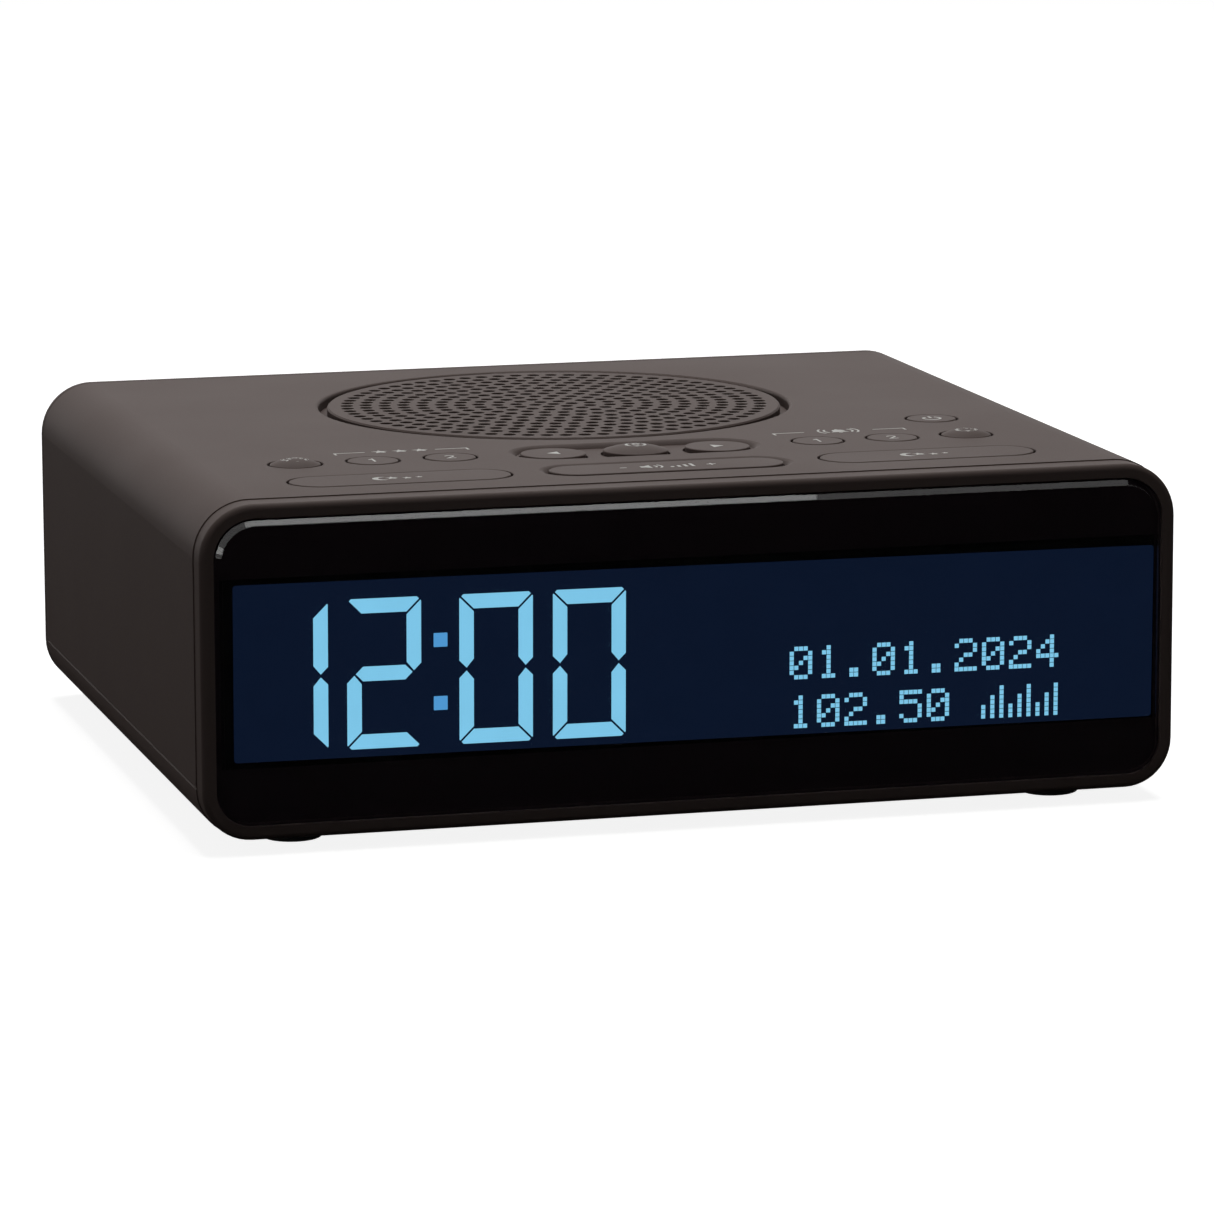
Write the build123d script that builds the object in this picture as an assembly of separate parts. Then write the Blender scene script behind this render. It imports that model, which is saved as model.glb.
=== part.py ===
from build123d import *
import math
import os

# A tabletop radio, in millimetres. X runs to the right, Y from the front to the back, Z up.
# The origin is on the table, under the middle of the case. Rows on the top count from the front.

# Case
CASE_W = 180.0           # width of the sleeve
CASE_H = 60.0            # height of the sleeve, without the feet
CASE_D = 157.0           # depth from the lens's face to the rear cover's back
TOP_R = 10.0             # outer radius along the two top edges
BOTTOM_R = 9.0           # outer radius along the two bottom edges, where the sleeve splits
WALL = 2.2               # moulded wall
TONGUE_T = 1.0           # tongue of the base cover, inside the split
TONGUE_H = 2.0
LIP_T = 1.2              # lip that centres the bezel and the rear cover in the sleeve
LIP_L = 4.0
LIP_CLEAR = 0.3          # room behind a lip's end
FIT_GAP = 0.15           # gap between moulded pieces that slide together
REAR_T = 2.5             # rear cover's plate
REAR_EDGE_R = 1.0        # rounding of the rear cover's outer edge
SEAM_EDGE = 0.2          # bevel of each edge at a joint line of the case

# Feet
FOOT_D = 11.0
FOOT_H = 2.5             # stand below the base
FOOT_SINK = 0.8          # depth of the foot's seat in the base
FOOT_EDGE_R = 0.6
FOOT_SIDE = 19.0         # foot's axis from the case's side
FOOT_INSET = 15.0        # from the front face and from the back face

# Lens and bezel
RIM = 2.8                # bezel rim around the lens
BEZEL_EDGE_R = 1.0       # rounding of the bezel's outer front edge
BEZEL_STEP = 0.2         # bezel's outside below the sleeve's
BEZEL_SKIRT = 1.2        # bezel wall behind its ledge
LENS_T = 2.5
LENS_PROUD = 0.8         # lens face in front of the bezel rim
LENS_CHAMFER = 1.1
LEDGE_T = 1.8            # plate of the bezel that carries the lens
TAPE_T = 0.5             # tape between the lens and the ledge
TAPE_END = 10.0          # tape's end from the case's side
TAPE_H = 6.0

# Display
GLASS_SIDE = 3.8         # display glass from the case's side
GLASS_H = 34.4
GLASS_T = 1.8
GLASS_GAP = 0.2          # air between the lens and the display glass
WINDOW_GAP = 0.3         # round the glass, in the ledge's window
LIGHT_END = 2.2          # backlight panel inside the glass's ends
LIGHT_EDGE = 0.7         # and inside its upper and lower edges
LIGHT_T = 3.5
FRAME_FLOOR_T = 1.5      # plate of the display frame behind the backlight
RAIL_H = 4.5             # rails of the display frame above and below the backlight
RAIL_GAP = 0.5           # between the backlight and a rail, where the flat cable passes
FRAME_CLEAR = 1.0        # display frame from the bezel's screw bosses
FRAME_SCREW_INSET = 4.0  # from the display frame's ends
FLEX_X = 30.0            # display's flat cable
FLEX_W = 24.0
FLEX_T = 0.25
FLEX_GAP = 0.3           # beside the cable in its slot
FLEX_BEND_R = 4.0

# Keys on the top
KEY_ROW = 42.0
BAR_ROW = 21.0
STANDBY_ROW = 62.6
KEY_D = 9.3
KEY_INNER_X = 34.9       # innermost round key of each side
KEY_STEP = 14.4          # from one round key to the next
NAV_D = 12.0             # the three keys in the recess
NAV_STEP = 15.6
NAV_SHIFT = 0.5          # recess's middle behind the keys' row
NAV_PROUD = 0.8          # flat key in the recess above its floor
NAV_END_MARGIN = 0.3     # recess floor beyond the outer keys
NAV_SIDE_MARGIN = 0.75   # recess floor in front of and behind the keys
BAR_L = 40.3
BAR_W = 11.7
BAR_X = 49.2
BAR_STEM_X = 12.0        # a bar's two stems from its middle
KEY_GAP = 0.42           # round every key
KEY_PROUD = 0.05         # flat key above the face around it
KEY_EDGE_R = 0.25
HOLE_EDGE_R = 0.2        # rounding of the openings in the top
DOME_RISE = 1.0          # domed key's crown above its rim
RECESS_DEPTH = 0.9
RECESS_FALL = (6, 60)    # slope of a recess's rounded lip at its top and at its floor, in degrees
RECESS_SECTIONS = 4      # outlines that the lip is drawn through
FLANGE_OUT = 1.0         # key flange that stays under the top
FLANGE_T = 1.0
FLANGE_GAP = 0.1
STEM_R = 1.6
KEY_TRAVEL = 0.6
OVERTRAVEL = 0.2         # left under a pressed stem

# Volume rocker
ROCKER_L = 43.5
ROCKER_W = 10.5
ROCKER_T = 2.4
ROCKER_STEM_X = 15.0
PIVOT_DROP = 4.0         # rocker's axis below the inside of the top
PIN_R = 1.0
PIN_RUNNING_GAP = 0.05   # between the pin and the rocker's bore
PIN_SEAT_GAP = 0.02      # between the pin and its ears
HUB_R = 2.6
EAR_T = 2.5
EAR_CLEAR = 0.3          # from the rocker's hole to an ear

# Grille and its seat
SPEAKER_ROW = 101.0
GRILLE_R = 43.5
GRILLE_T = 2.0
GRILLE_EDGE_R = 0.3
HOLE_R = 1.2
RING_PITCH = 3.61
RING_MARGIN = 1.0        # from the outer ring's holes to the seat
HOLE_STEP = 3.5          # from one hole to the next along a ring
GROOVE_W = 1.7           # open groove around the grille
GROOVE_EDGE_R = 0.6
SEAT_W = 1.5             # rim of the grille that rests on the seat
SEAT_WALL = 2.0          # wall around the groove
SOUND_DEPTH = 1.0        # hollow under the grille
SOUND_CLEAR = 0.9        # opening to the speaker beyond the surround
SEAT_LEDGE_T = 2.0

# Speaker
GASKET_T = 0.8
GASKET_W = 2.2
BASKET_FLANGE_W = 4.6
BASKET_T = 1.5
BASKET_SKIN = 1.3
BASKET_DEPTH = 17.9      # flange to the foot of the basket
BASKET_ARM_W = 11.0
BASKET_EAR_R = 3.2
SPEAKER_SCREW_OUT = 4.0  # circle of the four screws beyond the flange
SPIDER_SHELF = 14.7      # shelf under the flange's top
CONE_R = 31.0
CONE_DEPTH = 10.0
CONE_T = 0.6
ROLL_R = 1.7             # half roll of the surround
SURROUND_T = 0.4
SURROUND_RIM = 1.7
SPIDER_WAVES = 6
CAP_R = 11.5
CAP_RISE = 3.5
CAP_T = 0.4
COIL_R = 10.0            # outside of the coil's former
FORMER_T = 0.3
WINDING_T = 0.6
WINDING_L = 6.0
COIL_GAP = 0.45          # coil to the pole, and to the top plate
PLATE_R = 21.0
PLATE_T = 3.0
MAGNET_R = 23.0
MAGNET_T = 8.0
MAGNET_BORE_R = 12.5
TERMINAL_W = 9.0
TERMINAL_T = 1.6
TERMINAL_H = 6.0
LEAD_R = 0.6
LEAD_PITCH = 4.0
GLUE_GAP = 0.05          # between glued or soldered pieces

# Boards
BOARD_T = 1.6
KEY_BOARD_DROP = 10.8    # key board's top below the inside of the case's top
KEY_BOARD_EDGE = 4.0     # board beyond its outermost screws and switches
KEY_BOARD_CLEAR = 1.5    # board from the columns at the sides
BOSS_R = 2.75
BOSS_INNER_X = 26.0
SWITCH_W = 6.0
SWITCH_H = 3.5
SWITCH_WELL_D = 1.7
WELL_GAP = 0.4           # round a stem in its switch
MAIN_W = 130.0
MAIN_FRONT_ROW = 48.0    # front edge of the main board
MAIN_STANDOFF = 5.0
MAIN_REAR_GAP = 5.0      # main board to the rear cover
MAIN_SCREW_INSET = 6.0
CAN_W = 34.0
CAN_D = 26.0
CAN_H = 3.6
CAN_CORNER_R = 1.3
CAPACITOR_R = 4.0
CAPACITOR_H = 10.0
CAPACITOR_STEP = 11.0
CAPACITOR_COUNT = 3
CAPACITOR_CHAMFER = 0.6
HEADER_H = 6.0
HEADER_D = 5.0
RIBBON_X = -40.0
RIBBON_W = 14.0
RIBBON_T = 0.9
RIBBON_ROW = 44.0        # where the ribbon leaves the key board
RIBBON_BEND_R = 5.0

# Rear fittings
JACK_X = -48.0
JACK_W = 9.0
JACK_H = 11.0
JACK_L = 14.0
JACK_NOSE_R = 4.1
JACK_BORE_R = 3.2
JACK_BORE_DEPTH = 9.5
JACK_PIN_R = 1.0
JACK_AXIS_H = 6.5        # above the main board
JACK_GAP = 0.3           # nose to the rear cover
GLAND_X = 52.0
GLAND_Z = 30.0
GLAND_R = 3.0
GLAND_FLANGE_R = 4.5
GLAND_FLANGE_T = 1.0
GLAND_BORE_R = 1.0

# Screws
BIG_R = 1.4
BIG_HEAD_R = 2.7
SMALL_R = 1.1
SMALL_HEAD_R = 2.2
TINY_R = 0.9
TINY_HEAD_R = 1.7
HEAD_SHARE = 0.75        # head height over head radius
HEAD_ROUND = 0.33        # rounding over head height
CROSS_SHARE = 1.2        # length of a slot of the cross recess over head radius
CROSS_DEPTH = 0.5        # its depth over head height
BITE = 5.0               # screw in its boss
SHORT_BITE = 2.5
PILOT_SPARE = 5.0        # pilot hole beyond the screw's point
TINY_BITE = 1.4
SPEAKER_BITE = 2.2
PILOT_GAP = 0.03         # shank to its pilot hole
SHANK_GAP = 0.3          # shank to a clearance hole
HEAD_GAP = 0.3           # head to its counterbore
HEAD_SINK = 0.6          # base and rear screw heads below the face
CROSS_W = 0.6            # slots of the cross recess
COLUMN_R = 3.5
COLUMN_INSET = 7.3       # column's axis from the inside of the wall
COLUMN_Y = 52.0
BASE_BOSS_H = 3.8
REAR_SCREW_INSET = 6.8
REAR_SCREW_RISE = 16.0   # from the bottom and from the top of the case
REAR_BOSS_L = 12.0
BEZEL_SCREW_SIDE = 14.0  # bezel screw's axis from the case's side
BEZEL_SCREW_INSET = 3.2  # from the inside of the top and of the base
GUSSET_W = 7.0
GUSSET_T = 2.5

# Levels, from the bottom up
FLOOR = FOOT_H
DECK = FLOOR + WALL
SPLIT = FLOOR + BOTTOM_R
ROOF = FLOOR + CASE_H
CEILING = ROOF - WALL
MIDDLE = (FLOOR + ROOF) / 2
RECESS_FLOOR = ROOF - RECESS_DEPTH
RECESS_START, RECESS_END = (math.radians(angle) for angle in RECESS_FALL)
RECESS_LIP_R = RECESS_DEPTH / (math.cos(RECESS_START) - math.cos(RECESS_END))
RECESS_SLOPE = RECESS_LIP_R * (math.sin(RECESS_END) - math.sin(RECESS_START))
MAIN_TOP = DECK + MAIN_STANDOFF + BOARD_T
KEY_BOARD_TOP = CEILING - KEY_BOARD_DROP
SWITCH_TOP = KEY_BOARD_TOP + SWITCH_H
WELL_FLOOR = SWITCH_TOP - SWITCH_WELL_D
STEM_TIP = WELL_FLOOR + KEY_TRAVEL + OVERTRAVEL
PIVOT = CEILING - PIVOT_DROP
GRILLE_SEAT = ROOF - GRILLE_T
SOUND_FLOOR = GRILLE_SEAT - SOUND_DEPTH
SEAT_BOTTOM = SOUND_FLOOR - SEAT_LEDGE_T
BASKET_TOP = SEAT_BOTTOM - GASKET_T
BASKET_FOOT = BASKET_TOP - BASKET_DEPTH
PLATE_TOP = BASKET_FOOT - BASKET_T
MAGNET_TOP = PLATE_TOP - PLATE_T
YOKE_TOP = MAGNET_TOP - MAGNET_T
COLUMN_FOOT = DECK + BASE_BOSS_H
JACK_AXIS = MAIN_TOP + JACK_AXIS_H

# Depths, from the front back
FRONT = -CASE_D / 2
BACK = CASE_D / 2
BEZEL_FRONT = FRONT + LENS_PROUD
LENS_BACK = FRONT + LENS_T
LEDGE_FRONT = LENS_BACK + TAPE_T
LEDGE_BACK = LEDGE_FRONT + LEDGE_T
GLASS_FRONT = LENS_BACK + GLASS_GAP
GLASS_BACK = GLASS_FRONT + GLASS_T
LIGHT_BACK = GLASS_BACK + LIGHT_T
FRAME_BACK = LIGHT_BACK + FRAME_FLOOR_T
SLEEVE_FRONT = LEDGE_BACK + BEZEL_SKIRT
SLEEVE_BACK = BACK - REAR_T
GUSSET_FRONT = SLEEVE_FRONT + LIP_L + LIP_CLEAR
REAR_BOSS_BACK = SLEEVE_BACK - LIP_L - LIP_CLEAR
SPEAKER_Y = FRONT + SPEAKER_ROW
MAIN_FRONT = FRONT + MAIN_FRONT_ROW
MAIN_BACK = SLEEVE_BACK - MAIN_REAR_GAP

# Sizes and places used by several pieces
INNER_X = CASE_W / 2 - WALL
COLUMN_X = INNER_X - COLUMN_INSET
REAR_SCREW_X = INNER_X - REAR_SCREW_INSET
BEZEL_SCREW_X = CASE_W / 2 - BEZEL_SCREW_SIDE
FOOT_X = CASE_W / 2 - FOOT_SIDE
TAPE_L = CASE_W - 2 * TAPE_END
GLASS_W = CASE_W - 2 * GLASS_SIDE
LIGHT_W = GLASS_W - 2 * LIGHT_END
LIGHT_H = GLASS_H - 2 * LIGHT_EDGE
FRAME_W = 2 * (BEZEL_SCREW_X - BOSS_R - FRAME_CLEAR)
RAIL_Z = LIGHT_H / 2 + RAIL_GAP + RAIL_H / 2
KEY_BOARD_HALF = COLUMN_X - COLUMN_R - KEY_BOARD_CLEAR
BOSS_OUTER_X = KEY_BOARD_HALF - KEY_BOARD_EDGE
BOSS_ROW = (BAR_ROW + BAR_W / 2 + KEY_ROW - KEY_D / 2) / 2
GROOVE_R = GRILLE_R + GROOVE_W
SEAT_R = GROOVE_R + SEAT_WALL
RING_COUNT = int((GRILLE_R - SEAT_W - HOLE_R - RING_MARGIN) / RING_PITCH)
RIM_R = CONE_R + 2 * ROLL_R
SOUND_R = RIM_R + SURROUND_RIM + SOUND_CLEAR
BASKET_R = RIM_R + BASKET_FLANGE_W
SPEAKER_SCREW_R = BASKET_R + SPEAKER_SCREW_OUT
POLE_R = COIL_R - FORMER_T - COIL_GAP
PLATE_BORE_R = COIL_R + WINDING_T + COIL_GAP

NEAR = 1e-3              # two places closer than this are the same
BOTTOM_UP = (Align.CENTER, Align.CENTER, Align.MIN)
TOP_DOWN = (Align.CENTER, Align.CENTER, Align.MAX)

# Round keys: place on the top, and the face around each
KEY_OUTER_X = KEY_INNER_X + 2 * KEY_STEP
ROUND_KEYS = {
    "source_button": (-KEY_OUTER_X, KEY_ROW),
    "preset_button_1": (-KEY_INNER_X - KEY_STEP, KEY_ROW),
    "preset_button_2": (-KEY_INNER_X, KEY_ROW),
    "alarm_button_1": (KEY_INNER_X, KEY_ROW),
    "alarm_button_2": (KEY_INNER_X + KEY_STEP, KEY_ROW),
    "sleep_button": (KEY_OUTER_X, KEY_ROW),
    "standby_button": (KEY_OUTER_X, STANDBY_ROW),
}
NAV_KEYS = {
    "previous_button": (-NAV_STEP, KEY_ROW),
    "select_button": (0, KEY_ROW),
    "next_button": (NAV_STEP, KEY_ROW),
}
BARS = {
    "snooze_bar_left": (-BAR_X, BAR_ROW),
    "snooze_bar_right": (BAR_X, BAR_ROW),
}
DOMED = ("source_button", "select_button", "sleep_button")


def on_top(place, z):
    """Location of a key's (x, row) place at the height z."""
    return Pos(place[0], FRONT + place[1], z)


def case_profile(inset=0.0):
    """Outline of the sleeve seen from the front, drawn in by an inset."""
    face = Pos(0, MIDDLE) * Rectangle(CASE_W - 2 * inset, CASE_H - 2 * inset)
    face = fillet(face.vertices().group_by(Axis.Y)[-1], TOP_R - inset)
    return fillet(face.vertices().group_by(Axis.Y)[0], BOTTOM_R - inset)


def slab(face, front, back):
    """A front view's face, made solid from one depth to another."""
    plane = Plane(origin=(0, back, 0), x_dir=(1, 0, 0), z_dir=(0, -1, 0))
    return extrude(plane * face, back - front)


def block(x0, x1, y0, y1, z0, z1):
    """A box between two corners."""
    box = Box(x1 - x0, y1 - y0, z1 - z0, align=(Align.MIN, Align.MIN, Align.MIN))
    return Pos(x0, y0, z0) * box


def rod(radius, x, y, z0, z1):
    """An upright cylinder."""
    return Pos(x, y, z0) * Cylinder(radius, z1 - z0, align=BOTTOM_UP)


def bar(radius, x, z, y0, y1):
    """A cylinder that runs from the front to the back."""
    return Pos(x, y1, z) * Rot(90, 0, 0) * Cylinder(radius, y1 - y0, align=BOTTOM_UP)


def turned(*points):
    """A ring turned about the speaker's axis from (radius, height) points."""
    face = make_face(Polyline(*points, close=True))
    return Pos(0, SPEAKER_Y, 0) * revolve(Plane.XZ * face, Axis.Z)


def turned_ring(bore, radius, z0, z1):
    """A plain ring on the speaker's axis."""
    return turned((bore, z0), (radius, z0), (radius, z1), (bore, z1))


def pill(length, width, place, z0, z1):
    """An upright solid with a slot's outline."""
    return on_top(place, z0) * extrude(SlotOverall(length, width), z1 - z0)


def recess(length, width, place):
    """The hollow of a recess with a rounded lip, down from the top face."""
    outlines = []
    for step in range(RECESS_SECTIONS):
        fall = RECESS_START + (RECESS_END - RECESS_START) * step / (RECESS_SECTIONS - 1)
        inset = RECESS_LIP_R * (math.sin(fall) - math.sin(RECESS_START))
        depth = RECESS_LIP_R * (math.cos(RECESS_START) - math.cos(fall))
        outline = SlotOverall(length - 2 * inset, width - 2 * inset)
        outlines.append(on_top(place, ROOF - depth) * outline)
    return loft(outlines)


def mirrored(x, values):
    """Places at plus and minus x, for each of the other values."""
    return [(side * x, value) for side in (-1, 1) for value in values]


def screw(radius, length, head_radius):
    """A pan-head screw with a cross recess, pointing up from its head's seat at the origin."""
    head_height = HEAD_SHARE * head_radius
    head = Cylinder(head_radius, head_height, align=TOP_DOWN)
    rim = head.edges().filter_by(GeomType.CIRCLE).sort_by(Axis.Z)[0]
    head = fillet(rim, HEAD_ROUND * head_height)
    depth = CROSS_DEPTH * head_height
    for angle in (0, 90):
        slot = Rot(0, 0, angle) * Box(CROSS_SHARE * head_radius, CROSS_W, depth, align=BOTTOM_UP)
        head -= Pos(0, 0, -head_height) * slot
    return head + Cylinder(radius, length, align=BOTTOM_UP)


# Places that several pieces share
COLUMNS = mirrored(COLUMN_X, (-COLUMN_Y, COLUMN_Y))
REAR_SCREWS = mirrored(REAR_SCREW_X, (FLOOR + REAR_SCREW_RISE, ROOF - REAR_SCREW_RISE))
BEZEL_TOP_SCREWS = mirrored(BEZEL_SCREW_X, (CEILING - BEZEL_SCREW_INSET,))
BEZEL_BASE_SCREWS = mirrored(BEZEL_SCREW_X, (DECK + BEZEL_SCREW_INSET,))
FRAME_SCREWS = mirrored(FRAME_W / 2 - FRAME_SCREW_INSET, (MIDDLE - RAIL_Z, MIDDLE + RAIL_Z))
KEY_BOARD_SCREWS = mirrored(BOSS_OUTER_X, (BOSS_ROW,)) + mirrored(BOSS_INNER_X, (BOSS_ROW,))
MAIN_SCREWS = mirrored(
    MAIN_W / 2 - MAIN_SCREW_INSET,
    (MAIN_FRONT + MAIN_SCREW_INSET, MAIN_BACK - MAIN_SCREW_INSET),
)
FEET = mirrored(FOOT_X, (FRONT + FOOT_INSET, BACK - FOOT_INSET))
SPEAKER_SCREWS = [
    (SPEAKER_SCREW_R * math.cos(math.radians(a)), SPEAKER_SCREW_R * math.sin(math.radians(a)))
    for a in (45, 135, 225, 315)
]


def switch_places():
    """Every switch's place: one under a round key, two under a bar, two under the rocker."""
    places = list(ROUND_KEYS.values()) + list(NAV_KEYS.values())
    for x, row in BARS.values():
        places += [(x - BAR_STEM_X, row), (x + BAR_STEM_X, row)]
    return places + [(-ROCKER_STEM_X, BAR_ROW), (ROCKER_STEM_X, BAR_ROW)]


def seam_bevel(shape, end):
    """Bevels the outer edges at the front (0) or back (-1) end of a slab, where it meets a neighbour."""
    return chamfer(shape.faces().sort_by(Axis.Y)[end].edges(), SEAM_EDGE)


def sleeve():
    """The whole tube that the top shell and the base cover make up."""
    outer = seam_bevel(slab(case_profile(), SLEEVE_FRONT, SLEEVE_BACK), -1)
    return outer - slab(case_profile(WALL), SLEEVE_FRONT, SLEEVE_BACK)


def split_bevel(shape):
    """Bevels the two outer edges along the split between the top shell and the base cover."""
    edges = shape.edges().filter_by(Axis.Y).filter_by_position(Axis.Z, SPLIT - NEAR, SPLIT + NEAR)
    outer = edges.group_by(SortBy.DISTANCE)[-1]
    return chamfer(outer, SEAM_EDGE)


def within_walls(shape):
    """Trims inner bosses at half the wall, so that none shows outside."""
    return shape & slab(case_profile(WALL / 2), SLEEVE_FRONT, SLEEVE_BACK)


def split_band(inset, height):
    """A strip along both sides at the split, between an inset and the wall's inside."""
    strip = slab(case_profile(inset) - case_profile(WALL), SLEEVE_FRONT, SLEEVE_BACK)
    return strip & block(-CASE_W, CASE_W, FRONT, BACK, SPLIT, SPLIT + height)


def key_holes():
    """Openings in the top for every key, with the two recesses."""
    cuts = [recess(*nav_recess_size(), (0, KEY_ROW + NAV_SHIFT)), recess(*rocker_recess_size(), (0, BAR_ROW))]
    for place in ROUND_KEYS.values():
        cuts.append(on_top(place, DECK) * Cylinder(KEY_D / 2 + KEY_GAP, CASE_H, align=BOTTOM_UP))
    for place in NAV_KEYS.values():
        cuts.append(on_top(place, DECK) * Cylinder(NAV_D / 2 + KEY_GAP, CASE_H, align=BOTTOM_UP))
    for place in BARS.values():
        cuts.append(pill(BAR_L + 2 * KEY_GAP, BAR_W + 2 * KEY_GAP, place, DECK, DECK + CASE_H))
    rocker_hole = (ROCKER_L + 2 * KEY_GAP, ROCKER_W + 2 * KEY_GAP)
    cuts.append(pill(*rocker_hole, (0, BAR_ROW), DECK, DECK + CASE_H))
    return cuts


def nav_recess_size():
    """Length and width of the recess around the three middle keys, at the top face."""
    hole = NAV_D + 2 * KEY_GAP
    length = 2 * NAV_STEP + hole + 2 * (NAV_END_MARGIN + RECESS_SLOPE)
    return length, hole + 2 * (NAV_SIDE_MARGIN + RECESS_SLOPE)


def rocker_recess_size():
    """Length and width of the recess around the rocker, whose floor is the rocker's hole."""
    around = 2 * (KEY_GAP + RECESS_SLOPE)
    return ROCKER_L + around, ROCKER_W + around


def speaker_seat():
    """Ring under the top that carries the grille above and the speaker below."""
    ring = rod(SEAT_R, 0, SPEAKER_Y, SEAT_BOTTOM, CEILING + WALL / 2)
    for x, y in SPEAKER_SCREWS:
        ring += rod(BASKET_EAR_R, x, SPEAKER_Y + y, BASKET_TOP, CEILING)
    return ring


def speaker_seat_cuts():
    """Groove with the grille's pocket, the hollow under it, the sound opening and screw pilots."""
    cuts = [
        rod(GROOVE_R, 0, SPEAKER_Y, GRILLE_SEAT, ROOF + WALL),
        rod(GRILLE_R - SEAT_W, 0, SPEAKER_Y, SOUND_FLOOR, ROOF),
        rod(SOUND_R, 0, SPEAKER_Y, BASKET_TOP, ROOF),
    ]
    for x, y in SPEAKER_SCREWS:
        cuts.append(rod(SMALL_R + PILOT_GAP, x, SPEAKER_Y + y, BASKET_TOP, BASKET_TOP + SPEAKER_BITE))
    return cuts


def rocker_ears():
    """Two ears under the top that hold the rocker's pin."""
    inner = ROCKER_W / 2 + KEY_GAP + EAR_CLEAR
    axis_y = FRONT + BAR_ROW
    ears = []
    for y in (axis_y - inner - EAR_T, axis_y + inner):
        tab = block(-HUB_R, HUB_R, y, y + EAR_T, PIVOT, CEILING + RECESS_DEPTH / 4)
        tab += bar(HUB_R, 0, PIVOT, y, y + EAR_T)
        ears.append(tab - bar(PIN_R + PIN_SEAT_GAP, 0, PIVOT, y - EAR_T, y + 2 * EAR_T))
    return ears


def side_web(x, y0, y1, z0, z1):
    """A web from a boss at x out into the nearer side wall."""
    wall_x = math.copysign(INNER_X + WALL / 4, x)
    return block(min(x, wall_x), max(x, wall_x), y0, y1, z0, z1)


def top_shell():
    """Top and sides of the case in one moulding, with everything that hangs from it."""
    shell = split_bevel(sleeve() & block(-CASE_W, CASE_W, FRONT, BACK, SPLIT, ROOF))
    shell -= split_band(WALL - TONGUE_T - FIT_GAP, TONGUE_H + FIT_GAP)
    bosses = []
    for x, y in COLUMNS:
        web = side_web(x, y - WALL / 2, y + WALL / 2, SPLIT + TONGUE_H + FIT_GAP, CEILING)
        column = rod(COLUMN_R, x, y, COLUMN_FOOT, CEILING + WALL)
        pilot = rod(BIG_R + PILOT_GAP, x, y, COLUMN_FOOT, COLUMN_FOOT + BITE + PILOT_SPARE)
        bosses.append(within_walls(column + web) - pilot)
    for x, z in REAR_SCREWS:
        boss_front = REAR_BOSS_BACK - REAR_BOSS_L
        web = side_web(x, boss_front, REAR_BOSS_BACK, z - WALL, z + WALL)
        boss = bar(COLUMN_R, x, z, boss_front, REAR_BOSS_BACK) + web
        pilot_front = REAR_BOSS_BACK - BITE - PILOT_SPARE
        bosses.append(boss - bar(BIG_R + PILOT_GAP, x, z, pilot_front, REAR_BOSS_BACK))
    for x, z in BEZEL_TOP_SCREWS:
        tab = block(x - GUSSET_W / 2, x + GUSSET_W / 2, GUSSET_FRONT, GUSSET_FRONT + GUSSET_T,
                    z - BEZEL_SCREW_INSET, CEILING + WALL / 2)
        bosses.append(tab - bar(SMALL_R + SHANK_GAP, x, z, GUSSET_FRONT, GUSSET_FRONT + GUSSET_T))
    for x, row in KEY_BOARD_SCREWS:
        boss = rod(BOSS_R, x, FRONT + row, KEY_BOARD_TOP, CEILING + WALL / 2)
        pilot = rod(SMALL_R + PILOT_GAP, x, FRONT + row, KEY_BOARD_TOP, KEY_BOARD_TOP + BITE)
        bosses.append(boss - pilot)
    shell = shell + bosses + speaker_seat()
    shell = shell - speaker_seat_cuts() - key_holes() + rocker_ears()
    groove = 2 * math.pi * GRILLE_R
    longest_key = 2 * (BAR_L - BAR_W) + math.pi * (BAR_W + 2 * KEY_GAP)
    shell = fillet(opening_edges(shell, groove, 2 * groove), GROOVE_EDGE_R)
    return fillet(opening_edges(shell, 0, longest_key + KEY_GAP), HOLE_EDGE_R)


def opening_edges(shell, shortest, longest):
    """Edges of the openings in the top face whose outline's length is between two values."""
    edges = []
    for wire in shell.faces().sort_by(Axis.Z)[-1].inner_wires():
        if shortest < wire.length < longest:
            edges += wire.edges()
    return edges


def base_cover():
    """Tray that closes the sleeve from below."""
    base = split_bevel(sleeve() & block(-CASE_W, CASE_W, FRONT, BACK, FLOOR, SPLIT))
    base += split_band(WALL - TONGUE_T, TONGUE_H)
    for x, y in COLUMNS:
        base += within_walls(rod(COLUMN_R, x, y, FLOOR, COLUMN_FOOT))
        base -= rod(BIG_R + SHANK_GAP, x, y, FLOOR, COLUMN_FOOT)
        base -= rod(BIG_HEAD_R + HEAD_GAP, x, y, FLOOR, base_head_seat())
    for x, z in BEZEL_BASE_SCREWS:
        tab = block(x - GUSSET_W / 2, x + GUSSET_W / 2, GUSSET_FRONT, GUSSET_FRONT + GUSSET_T,
                    DECK - WALL / 2, z + BEZEL_SCREW_INSET)
        base += tab - bar(SMALL_R + SHANK_GAP, x, z, GUSSET_FRONT, GUSSET_FRONT + GUSSET_T)
    for x, y in MAIN_SCREWS:
        base += rod(BOSS_R, x, y, DECK - WALL / 2, DECK + MAIN_STANDOFF)
        base -= rod(SMALL_R + PILOT_GAP, x, y, DECK, DECK + MAIN_STANDOFF)
    for x, y in FEET:
        base -= rod(FOOT_D / 2 + FIT_GAP, x, y, FLOOR, FLOOR + FOOT_SINK)
    return base


def base_head_seat():
    """Height at which a base screw's head is seated."""
    return FLOOR + HEAD_SINK + HEAD_SHARE * BIG_HEAD_R


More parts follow.
